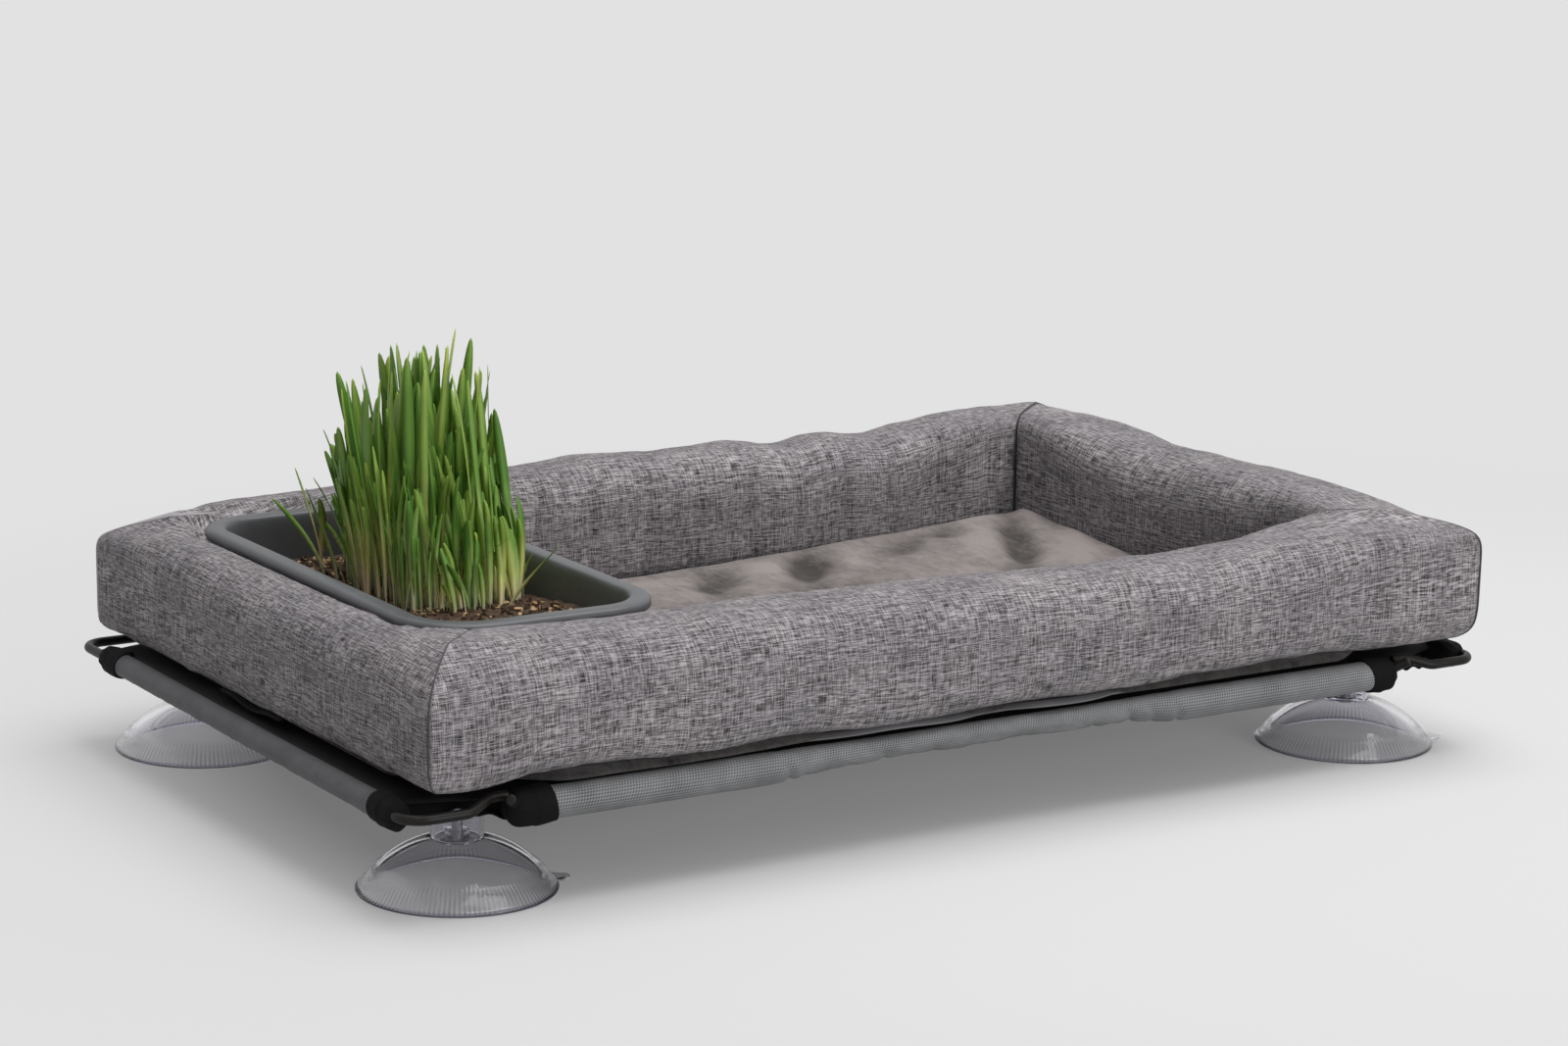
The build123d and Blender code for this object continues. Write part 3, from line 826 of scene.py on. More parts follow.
@dataclass(frozen=True)
class GrassFinish:
    """Blade colours along their length, pale at the foot, from the blades' own UV map."""

    foot: Colour = (0.92, 0.9, 0.66)
    lower: Colour = (0.64, 0.79, 0.27)
    upper: Colour = (0.19, 0.365, 0.055)
    tip: Colour = (0.4, 0.6, 0.1)
    deep: Colour = (0.5, 0.66, 0.5)
    sunny: Colour = (1.75, 1.30, 1.35)
    vein: Colour = (0.06, 0.17, 0.02)

    @cached_property
    def material(self) -> Material:
        """Its material: V is the share of the full height, and U picks each blade's tone."""
        n = Nodes(bpy.data.materials.new("grass_blades"))
        parts = n.parts(n.add("ShaderNodeTexCoord").outputs["UV"])
        height = n.ramp(
            parts["Y"], (0.06, self.foot), (0.26, self.lower), (0.52, self.upper),
            (0.8, self.upper), (1.0, self.tip),
        )
        kind = n.ramp(parts["X"], (0.0, self.deep), (0.45, (1.0, 1.0, 1.0)), (1.0, self.sunny))
        streak = n.noise(n.coords("Object", (1.0, 1.0, 0.06)), 1100.0, 2.0, 0.5)
        toned = n.mix(1.0, height, kind, "MULTIPLY")
        return n.finish(
            Base_Color=n.mix(n.math("MULTIPLY", streak, 0.22), toned, self.vein),
            Roughness=0.42, Specular_IOR_Level=0.35, Normal=n.bump(streak, 0.12 * MM, 0.4),
        )


@dataclass(frozen=True)
class SoilFinish:
    """Dark potting soil, or the tan husk bits that lie on it."""

    name: str
    dark: Colour
    light: Colour

    @cached_property
    def material(self) -> Material:
        """Its material: crumb-sized noise mixes two colours and roughens the surface."""
        n = Nodes(bpy.data.materials.new(self.name))
        crumb = n.noise(n.coords("Object"), 260.0, 4.0, 0.7)
        return n.finish(
            Base_Color=n.ramp(crumb, (0.35, self.dark), (0.7, self.light)), Roughness=0.9,
            Normal=n.bump(crumb, 1.5 * MM, 0.8),
        )


Finish = (
    LinenFinish | PlushFinish | RibbedFinish | CoatedWireFinish | ClearFinish | MouldedFinish
    | GrassFinish | SoilFinish
)


@dataclass(frozen=True)
class Palette:
    """Every finish of the object."""

    linen: Finish = LinenFinish()
    seam: Finish = RibbedFinish("cover_seam_thread", (0.04, 0.036, 0.04), (0.11, 0.102, 0.108))
    hem: Finish = RibbedFinish("cover_hem_cloth", (0.11, 0.106, 0.112), (0.21, 0.205, 0.213))
    # The cushion's plush, with painted shade in its hollows.
    plush: Finish = PlushFinish(
        "cushion_plush_pile", (0.07, 0.062, 0.058), (0.308, 0.272, 0.26), brushed=0.48,
        sheen=0.1,
    )
    fleece: Finish = PlushFinish(
        "mat_dark_fleece", (0.008, 0.007, 0.007), (0.088, 0.081, 0.078), 60.0, 520.0, 1.8 * MM,
        0.25,
    )
    sleeve: Finish = RibbedFinish(
        "sleeve_ribbed_canvas", (0.08, 0.082, 0.085), (0.315, 0.32, 0.327), 1.45 * MM
    )
    # A darker copy of the sleeve canvas for the two side sleeves: painted shade.
    side_sleeve_painted_shade: Finish = RibbedFinish(
        "sleeve_shaded_canvas", (0.05, 0.051, 0.055), (0.172, 0.174, 0.182)
    )
    sling: Finish = RibbedFinish(
        "sling_black_canvas", (0.004, 0.004, 0.004), (0.014, 0.014, 0.015), 0.9 * MM, gloss=0.12
    )
    binding: Finish = RibbedFinish(
        "binding_black_cloth", (0.004, 0.004, 0.004), (0.011, 0.011, 0.012), 0.8 * MM, 0.6,
        0.08 * MM, 0.85, 0.12,
    )
    foam: Finish = PlushFinish(
        "sleeve_foam_cells", (0.03, 0.03, 0.03), (0.07, 0.07, 0.07), 60.0, 900.0, 0.4 * MM, 0.0
    )
    wire: Finish = CoatedWireFinish()
    # The cups' vinyl, with painted shade in its rib grooves and along its rim.
    vinyl: Finish = ClearFinish(
        "cup_clear_vinyl", (0.88, 0.87, 0.91), 0.05, 1.16, TAU * CUP_RIM / CUP_RIBS
    )
    clear: Finish = ClearFinish("neck_clear_plastic", (0.84, 0.84, 0.9), 0.03, 1.20)
    steel: Finish = MouldedFinish("stud_zinc_steel", (0.2, 0.2, 0.22), (0.28, 0.28, 0.3), 0.5, 1.0)
    tray: Finish = MouldedFinish(
        "planter_grey_plastic", (0.074, 0.076, 0.083), (0.104, 0.107, 0.117), 0.42
    )
    soil: Finish = SoilFinish("potting_soil", (0.018, 0.009, 0.005), (0.135, 0.074, 0.037))
    husk: Finish = SoilFinish("husk_bits", (0.32, 0.18, 0.08), (0.78, 0.56, 0.32))
    grass: Finish = GrassFinish()


def dress(piece: Piece, finish: Finish, body: str, slot: str, *nodes: str) -> None:
    """Give a finished piece its material and body, and hide the nodes that it stands for.

    Args:
        piece: The piece.
        finish: What it is made of.
        body: The body that it moves with.
        slot: Not used.
        nodes: The nodes that it replaces.
    """
    piece.data.materials.clear()
    piece.data.materials.append(finish.material)
    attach(piece, body)
    if nodes:
        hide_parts(*nodes)
    log.info("%s: %d faces on %s", piece.name, len(piece.data.polygons), body)


def dress_node(node: str, finish: Finish) -> None:
    """Give a kept node its finish."""
    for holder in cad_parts[node].material_slots:
        holder.material = finish.material


class Side(Enum):
    """The bed's four sides: the turn that brings the front bolster there, in quarter turns."""

    FRONT = 0
    RIGHT = 1
    REAR = 2
    LEFT = 3

    @property
    def label(self) -> str:
        """The side's name as the nodes have it."""
        return self.name.lower()

    @property
    def is_long(self) -> bool:
        """Whether it is one of the two long sides."""
        return self in (Side.FRONT, Side.REAR)


CORNERS = {
    "front_left": (-1, -1), "front_right": (1, -1), "rear_left": (-1, 1), "rear_right": (1, 1),
}


# The wire frame


@dataclass
class WireFrame:
    """Two cranked bows and two long rails of round wire."""

    palette: Palette
    diameter: float = 4.76 * MM
    bend: float = 11 * MM
    crank_bend: float = 9 * MM
    rail_bend: float = 6 * MM
    leg: float = 30 * MM
    crank: float = 12.5 * MM
    crank_in: float = 6 * MM
    crank_up: float = 3.9 * MM
    hook: float = 9 * MM
    rail_tip: Triple = (9 * MM, 10 * MM, 7.6 * MM)
    step: float = 1.6 * MM
    around: int = 24

    def build(self) -> None:
        """Make the bows and the rails at the places of their nodes."""
        for side, sign in (("left", -1), ("right", 1)):
            self.bow(side, sign)
        for side, sign in (("front", -1), ("rear", 1)):
            self.rail(side, sign)

    def wire(self, node: str, corners: Array, radii: list[float]) -> None:
        """Sweep a circle along a rounded path, with blunt ends.

        A point is the path's plus the radius times the cosine and sine of its angle along
        the side and top vectors. Near an end the radius falls as a quarter circle.

        Args:
            node: The bow or rail to stand for.
            corners: The path's corner points.
            radii: Bend radius at each inner corner.
        """
        path = rounded_path(corners, radii, self.step)
        path = path[np.r_[True, np.linalg.norm(np.diff(path, axis=0), axis=1) > 0.05 * MM]]
        length = np.r_[0, np.cumsum(np.linalg.norm(np.diff(path, axis=0), axis=1))]
        radius = self.diameter / 2
        blunt = radius * 0.35
        tip = np.linspace(0, blunt, 5)
        fine = np.unique(np.concatenate([length, tip, length[-1] - tip]))
        path = np.stack([np.interp(fine, length, path[:, k]) for k in range(3)], 1)
        from_end = share_of(np.minimum(fine, fine[-1] - fine), 0, blunt)
        size = radius - blunt * (1 - np.sqrt(1 - (1 - from_end) ** 2))
        side, top = path_sides(path)
        angle = ring_angles(self.around)
        ring = side[:, None] * np.cos(angle)[:, None] + top[:, None] * np.sin(angle)[:, None]
        points = path[:, None] + ring * size[:, None, None]
        surface = closed_tube(points, fine[:, None], angle[None] * radius, TAU * radius)
        piece = as_mesh(f"{node}_wire", *surface)
        dress(piece, self.palette.wire, "frame", "wire_black", node)

    def bow(self, side: str, sign: int) -> None:
        """One bow: a run along Y, two corners and two cranked ends.

        Args:
            side: Which bow.
            sign: The direction of its run along X from the middle.
        """
        low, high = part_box(f"bow_{side}")
        r = self.diameter / 2
        run = max(abs(low.x), abs(high.x)) - r
        leg_y = high.y - r
        level = low.z + r
        foot = run - self.leg
        top = foot - self.crank
        inner_y, upper = leg_y - self.crank_in, level + self.crank_up
        half = np.array([
            (top - self.hook, inner_y, upper), (top, inner_y, upper), (foot, leg_y, level),
            (run, leg_y, level),
        ])
        corners = np.vstack([half, (half * (1, -1, 1))[::-1]]) * (sign, 1, 1)
        bends = [self.crank_bend, self.crank_bend, self.bend]
        self.wire(f"bow_{side}", corners, bends + bends[::-1])

    def rail(self, side: str, sign: int) -> None:
        """One rail, whose ends turn up and out in front of the bows' ends.

        Args:
            side: Which rail.
            sign: Its direction along Y from the middle.
        """
        low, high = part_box(f"sleeve_{side}")
        across = max(abs(low.y), abs(high.y)) - (high.z - low.z) / 2
        level = (low.z + high.z) / 2
        reach, out, rise = self.rail_tip
        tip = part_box(f"rail_{side}")[1].x - self.diameter / 2 * 0.7
        end = np.array([(-tip, across + out, level + rise), (-tip + reach, across, level)])
        corners = np.vstack([end, (end * (-1, 1, 1))[::-1]]) * (1, sign, 1)
        self.wire(f"rail_{side}", corners, [self.rail_bend] * 2)


# The canvas sling


@dataclass
class Sleeve:
    """Where one sleeve lies, as its node says: on its wire, with its flange inwards."""

    side: Side

    def __post_init__(self) -> None:
        """Measure the node's box."""
        low, high = np.array(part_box(f"sleeve_{self.side.label}"))
        self.radius = (high[2] - low[2]) / 2
        run, across = (0, 1) if self.side.is_long else (1, 0)
        sign = -1 if self.side in (Side.FRONT, Side.LEFT) else 1
        self.half = (high[run] - low[run]) / 2
        self.centre = np.array([0, 0, low[2] + self.radius])
        self.centre[across] = sign * (max(abs(low[across]), abs(high[across])) - self.radius)
        self.inward, self.along = np.zeros(3), np.zeros(3)
        self.inward[across], self.along[run] = -sign, 1

    def wrapped(self, s: Array, r: Array, a: Array, up: Array) -> Array:
        """Points s along the wire and r from it, a round it from inwards, and up over it."""
        beside = self.inward * (r * np.cos(a))[..., None]
        return self.centre + self.along * s[..., None] + beside + UP * up[..., None]


@dataclass
class Sling:
    """Canvas sheet, its four sleeves, the end tapes and the black corners.

    Fullness lists run along a sleeve, as shares of its tube's radius. A step is a place
    along a long sleeve where the cloth dips, and the dip's depth, both in millimetres.
    """

    palette: Palette
    canvas: float = 0.8 * MM
    around: int = 72
    slid: float = 16 * MM
    tuck: float = 4 * MM
    cut: Pair = (48 * MM, 14 * MM)
    corner_drop: float = 9.5 * MM
    tape: float = 18 * MM
    short_tape: float = 13 * MM
    tape_over: float = 5.5 * MM
    tape_hole: float = 2.55 * MM
    long_fullness: Floats = (
        0.98, 0.98, 0.98, 0.98, 0.97, 0.76, 0.72, 0.70, 0.69, 0.70, 0.72, 0.97, 0.98, 0.98, 0.98,
        0.98,
    )
    short_fullness: Floats = (0.96, 0.94, 0.92, 0.91, 0.92, 0.91, 0.92, 0.94, 0.96)
    long_steps: Pairs = (
        (-110, 1.7), (-102, 0.8), (-58, 0.8), (-30, 0.6), (62, 0.6), (84, 1.3), (97, 0.8),
        (112, 1.5),
    )

    def build(self) -> None:
        """Make every cloth piece of the sling."""
        for side in Side:
            self.sleeve(Sleeve(side))
        self.panel()
        self.tapes()
        for name, signs in CORNERS.items():
            self.corner(name, signs)
            dress_node(f"eyelet_{name}", self.palette.steel)
            dress_node(f"sleeve_foam_{name}", self.palette.foam)

    def sleeve(self, place: Sleeve) -> None:
        """One sleeve, full at its ends and slack and creased between them.

        A point at angle a is the axis plus r times the cosine of a inwards and its sine up,
        where r is the tube's radius times the fullness, plus creases where it is slack.

        Args:
            place: Where the sleeve lies.
        """
        radius, side = place.radius, place.side
        first, last = self.reach(place)
        rows = int((last - first) / (1.8 * MM))
        s = np.linspace(first, last, rows)[:, None]
        a = ring_angles(self.around)[None]
        up = np.sin(a)
        fullness = self.long_fullness if side.is_long else self.short_fullness
        full = through(fullness, (s - first) / (last - first))
        slack = np.clip((1.0 - full) / 0.16, 0, 1)
        full = full * (1 - 0.09 * np.clip(1.5 - np.minimum(s - first, last - s) / (8 * MM), 0, 1))
        seed = SEED + side.value
        crease = smooth_noise(s / 0.040 + 0.30 * up, a / TAU * 1.5, seed, 3)
        fold = smooth_noise(s / 0.016 + 0.6 * np.cos(a), a / TAU * 0.8, seed + 9, 2)
        creases = (0.75 * crease + 0.45 * fold) * MM * (0.06 + 0.94 * slack)
        dips = np.zeros_like(s)
        for spot, depth in (self.long_steps if side.is_long else ()):
            dips = dips - depth * MM * bell((s - spot * MM + 2.2 * MM * up) / (2.0 * MM))
        r = radius * full * (1 + 0.02 * np.cos(2 * a)) + creases * np.clip(0.7 - up, 0, 1)
        r = np.minimum(r, radius * 1.02) + dips * np.clip(1.1 - up, 0, 1)
        mid = share_of(np.abs(s), 114 * MM, 102 * MM) * side.is_long
        points = place.wrapped(s, r, a, r * up + radius * (1 - full) * 0.75 * mid)
        uv = grid_uv(s, a * radius, TAU * radius)
        name = f"sleeve_{side.label}_canvas"
        piece = outward(as_mesh(name, points, grid_quads(rows, self.around, True), uv))
        thicken(piece, self.canvas * 0.9, -1)
        # The side sleeves take the darker copy of the canvas, as painted shade.
        finish = self.palette.sleeve if side.is_long else self.palette.side_sleeve_painted_shade
        dress(piece, finish, "frame", "sleeve_canvas", f"sleeve_{side.label}")
        wire = f"rail_{side.label}_wire" if side.is_long else f"bow_{side.label}_wire"

    def reach(self, place: Sleeve) -> Pair:
        """Where a sleeve starts and ends on its wire; the side ones have slid forwards."""
        return -place.half, place.half - (0 if place.side.is_long else self.slid)

    def panel(self) -> None:
        """Black sheet between the sleeves, a little wavy below, with cut corners."""
        low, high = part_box("sling_panel")
        cut_x, cut_y = self.cut
        rows, columns = 150, 90
        x_share, y_share = share_grid(rows, columns)
        x, wide_y = x_share * (high.x + self.tuck), y_share * (high.y + self.tuck)
        y = wide_y * (1 - share_of(np.abs(x), high.x - cut_x, high.x) * cut_y / high.y)
        pull = smooth_noise(x / 0.11, y / 0.30, SEED + 31, 3) * 0.35 * MM
        edge = np.clip((1 - np.maximum(np.abs(x_share), np.abs(y_share))) * 6, 0, 1)
        sunk_x, sunk_y = (
            share_of(np.abs(over), end - 4 * MM, end + 4 * MM) ** 1.5 * depth * MM
            for over, end, depth in ((x, high.x, 1.6), (wide_y, high.y, 3.0))
        )
        z = (low.z + high.z) / 2 - np.abs(pull) * edge - np.maximum(sunk_x, sunk_y)
        quads = grid_quads(rows, columns)
        piece = outward(as_mesh("sling_canvas", spots(x, y, z), quads, grid_uv(x, y)))
        thicken(piece, self.canvas, 0)
        dress(piece, self.palette.sling, "frame", "sling_canvas", "sling_panel")

    def tapes(self) -> None:
        """Black cloth wrapped round each sleeve's ends and gathered down onto the wire."""
        socks = []
        for place in map(Sleeve, Side):
            for sign, end in zip((-1, 1), self.reach(place)):
                short = place.side is Side.FRONT and sign > 0
                width = self.short_tape if short else self.tape
                socks.append(self.sock(place, end, width, sign, len(socks)))
        piece = outward(as_mesh("sleeve_end_bindings", *joined(socks)))
        dress(piece, self.palette.binding, "frame", "binding_black", "sleeve_end_tapes")

    def sock(self, place: Sleeve, end: float, width: float, sign: int, number: int) -> Surface:
        """One wrap of cloth, closed at both ends.

        Its radius is the sleeve's plus the cloth, then falls as a quarter ellipse to the
        wire over the last third. A tail towards the sling is a bell curve of the angle, and
        gathers run along it. The edge over the sleeve is slanted.

        Args:
            place: Where the sleeve lies.
            end: Where the sleeve ends along its wire.
            width: How far the cloth covers the sleeve.
            sign: Direction along the wire, out of the sleeve.
            number: Which wrap it is, to vary its folds.

        Returns:
            Points, quads and UV corners.
        """
        columns, rows = self.around, 40
        radius = place.radius
        variant = number * (rows * columns + 2)
        a = ring_angles(columns)[None]
        t = np.linspace(0, 1, rows)[:, None]
        slant = 1.5 * MM * np.sin(a + 0.6 * sign + variant * 0.001)
        s = (width + self.tape_over) * t - width + slant * (1 - t)
        closing = share_of(t, 0.66, 1)
        cloth = radius * 0.97 + 0.80 * MM - 0.35 * MM * (t > 0.45)
        r = self.tape_hole + (cloth - self.tape_hole) * np.sqrt(1 - closing**2.2)
        r = np.where(t < 0.02, radius * 0.80, r)
        deeper = 0.12 + 0.75 * closing * (1 - closing) * 4
        gather = np.cos(a * 9 + 2 * np.sin(a * 2 + sign)) * deeper * 0.35 * MM
        lump = smooth_noise(t * 1.2 + variant * 0.37, a / TAU * 2.5, SEED + 50, 2) * 0.45 * MM
        tail = 1.6 * MM * bell((a - 0.9) / 0.42) * np.clip(1.15 - t, 0, 1)
        sag = 0.9 * MM * np.clip(-np.sin(a), 0, 1) * np.sin(math.pi * t)
        ends = np.clip(t * 12, 0, 1) * np.clip((1 - t) * 8, 0, 1)
        r = r + (gather + lump + tail + sag) * ends
        rise = np.minimum(r * np.sin(a), radius + 0.9 * MM)
        points = place.wrapped(end + sign * s, r, a, rise)
        return closed_tube(points, s, a * radius, TAU * radius)

    def corner(self, name: str, signs: tuple[int, int]) -> None:
        """Black corner cloth: the patch below the sling and the fold over its cut edge.

        Args:
            name: Which corner.
            signs: Its directions along X and Y from the middle.
        """
        box = np.array(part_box(f"corner_binding_{name}"))
        (near_x, far_x), (near_y, far_y) = np.sort(box[:, :2] * signs, axis=0).T
        cut_x, cut_y = self.cut
        rows = columns = 40
        x_share, y_share = share_grid(rows, columns, 0)
        x = near_x + (far_x - near_x) * x_share
        edge_y = far_y - cut_y * share_of(x, far_x - cut_x, far_x)
        y = near_y + (edge_y - near_y) * y_share
        pucker = smooth_noise(x / 0.02, y / 0.02, SEED + 60, 2) * 0.25 * MM
        past = smooth_step(share_of(y, edge_y - 7 * MM, edge_y - 1 * MM))
        aside = share_of(x, far_x - 5 * MM, far_x)
        drop = self.corner_drop * np.maximum(past, 0.6 * aside**2)
        wavy = 1 + 0.22 * np.sin(x / (5.5 * MM)) + 0.15 * np.sin(x / (2.3 * MM) + 1)
        z = box[0, 2] + 0.5 * MM - np.abs(pucker) * 1.2 - drop * wavy
        points = spots(x * signs[0], y * signs[1], z)
        quads = grid_quads(rows, columns)
        piece = outward(as_mesh(f"corner_cloth_{name}", points, quads, grid_uv(x, y)))
        thicken(piece, self.canvas, 0)
        dress(piece, self.palette.binding, "frame", "binding_black", f"corner_binding_{name}")


# The suction cups


@dataclass
class SuctionCups:
    """Four clear cups with ribbed skirts, tabs, necks and studs.

    The lip and boss profiles are pairs of radius and height in millimetres: the lip's from
    the rim's edge and the foot, the boss's from the axis and the dome's top.
    """

    palette: Palette
    rim: float = CUP_RIM
    flat: float = 13.4 * MM
    height: float = 23 * MM
    wall: float = 2.6 * MM
    lip: float = 1.8 * MM
    lip_width: float = 3.0 * MM
    bulge: float = 3.4 * MM
    rib_depth: float = 0.35 * MM
    lip_profile: Pairs = ((-0.9, 1.55), (-0.2, 1.296), (0.0, 0.81), (-0.1, 0.25), (-0.5, 0.0))
    boss_profile: Pairs = ((0.3, 4.0), (5.0, 4.0), (5.5, 3.5), (5.5, 0.4), (6.0, 0.0))
    neck_radius: float = 12.1 * MM
    neck_wall: float = 1.6 * MM
    neck_top: float = 2.4 * MM
    bore: float = 2.6 * MM
    tab_width: float = 12 * MM
    tab_reach: float = 6.5 * MM
    tab_root: float = 1.2 * MM
    tab_thickness: float = 1.2 * MM
    tab_lift: float = 0.35 * MM
    tab_angles: dict[str, float] = field(default_factory=lambda: {
        "front_left": -12.6, "front_right": -24.3, "rear_left": 22.0, "rear_right": 204.0,
    })

    def build(self) -> None:
        """Make the four cups."""
        for name in CORNERS:
            place = np.array(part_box(f"cup_neck_{name}")).mean(0)
            self.dome(name, place)
            self.neck(name, place)
            for node in (f"cup_stud_{name}", f"stud_washer_{name}"):
                dress_node(node, self.palette.steel)

    def dome(self, name: str, place: Array) -> None:
        """Turned shell with radial ribs on its skirt and a flat tab on its rim.

        The profile runs from the top's middle over the outside to the rim and back inside.
        Each side is a circle's arc through three points. A rib adds the rib depth times the
        cosine of ribs times the angle, squared, where the radius lies in the skirt.

        Args:
            name: Which cup.
            place: Its neck's middle.
        """
        shoulder = self.rim - self.lip
        bend_x, bend_z = (shoulder + self.flat) / 2, (self.lip + self.height) / 2
        middle = (bend_x + self.bulge / 2, bend_z + self.bulge)
        outside = arc_through((self.flat, self.height), middle, (shoulder, self.lip), 34)
        inner_rim, inner_flat = self.rim - self.lip_width, self.flat - self.wall
        inner_top = self.height - self.wall
        inner_middle = ((inner_rim + inner_flat) / 2, inner_top / 2 + self.bulge)
        inside = arc_through((inner_rim, 0), inner_middle, (inner_flat, inner_top), 24)
        lip = np.array(self.lip_profile) * MM + (self.rim, 0)
        boss = np.array(self.boss_profile) * MM + (0, self.height)
        profile = np.vstack([boss, outside, lip, inside, (boss[0, 0], inner_top)])
        angle = ring_angles(CUP_RIBS * 4)
        radius, level = profile[:, :1], profile[:, 1:]
        is_outer = np.arange(len(profile))[:, None] < len(boss) + len(outside)
        skirt = share_of(radius, RIB_START, RIB_START + 2.5 * MM) * is_outer
        skirt = skirt * share_of(radius, shoulder, shoulder - 1.0 * MM)
        level = level + skirt * self.rib_depth * np.cos(angle * CUP_RIBS / 2) ** 2
        points = spots(radius * np.cos(angle), radius * np.sin(angle), level)
        shell = closed_tube(points, radius, angle[None] * self.rim, TAU * self.rim)
        points, quads, uv = joined([shell, self.tab()])
        turn = math.radians(self.tab_angles[name])
        c, s = math.cos(turn), math.sin(turn)
        points = points @ np.array([(c, s, 0), (-s, c, 0), (0, 0, 1)]) + place * (1, 1, 0)
        piece = outward(as_mesh(f"cup_{name}_dome", points, quads, uv))
        dress(piece, self.palette.vinyl, f"cup_{name}", "cup_clear", f"suction_cup_{name}")

    def tab(self) -> Surface:
        """Flat tongue with a round end, lifted just off the surface.

        Its half width at share t is the full half width times the root of 1 - t^3, and it
        narrows by a quarter towards its end.

        Returns:
            Its points, quads and UV corners.
        """
        rows, columns = 14, 9
        t = np.linspace(0, 1, rows)[:, None]
        w = np.linspace(-1, 1, columns)[None]
        half = self.tab_width / 2 * np.sqrt(1 - (t * 0.985) ** 3) * (1 - 0.25 * t)
        x = self.rim - self.tab_root + (self.tab_reach + self.tab_root) * t
        top = self.tab_lift + self.tab_thickness * (1 - 0.25 * np.abs(w) ** 4)
        upper, lower = (spots(x, half * w, z) for z in (top, self.tab_lift))
        points, quads = pad_between(upper, lower)
        return points, quads, np.zeros((len(quads), 4, 2))

    def neck(self, name: str, place: Array) -> None:
        """Clear tube with a closed top round the stud; its profile is a turned, closed loop.

        Args:
            name: Which cup.
            place: The neck's middle.
        """
        low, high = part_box(f"cup_neck_{name}")
        r, inner = self.neck_radius, self.neck_radius - self.neck_wall
        soft = 0.35 * MM
        top, ceiling, middle = high.z, high.z - self.neck_top, (low.z + high.z) / 2
        profile = np.array([
            (inner, low.z + soft), (inner + soft, low.z), (r - soft, low.z), (r, low.z + soft),
            (r, middle), (r, top - soft), (r - soft, top), (self.bore, top),
            (self.bore, ceiling), (inner - soft, ceiling), (inner, ceiling - soft),
            (inner, middle),
        ])
        angle = ring_angles(72)
        radius, level = profile[:, :1], profile[:, 1:]
        x, y = radius * np.cos(angle) + place[0], radius * np.sin(angle) + place[1]
        points = spots(x, y, level)
        quads = grid_quads(len(profile), len(angle), ring=True)
        piece = outward(as_mesh(f"cup_{name}_neck", points, quads))
        piece.data.set_sharp_from_angle(angle=math.radians(35.0))
        dress(piece, self.palette.clear, f"cup_{name}", "neck_clear", f"cup_neck_{name}")


# The bed


@dataclass(frozen=True)
class BolsterShape:
    """Section of a bolster at its first corner, and its shape along the side.

    The eave is the share of the crest at which the upright outer seam ends, and the roof
    rises from there to the ridge, a share of the width. The powers are those of the section
    above and below its middle. Lists run from the first corner to the last, evenly spaced,
    in millimetres. A tuck is its place along the side, its depth and its width.
    """

    eave: float
    ridge: float
    power: float
    lower: float
    crests: Floats
    widths: Floats
    hems: Floats
    tucks: tuple[Triple, ...] = ()


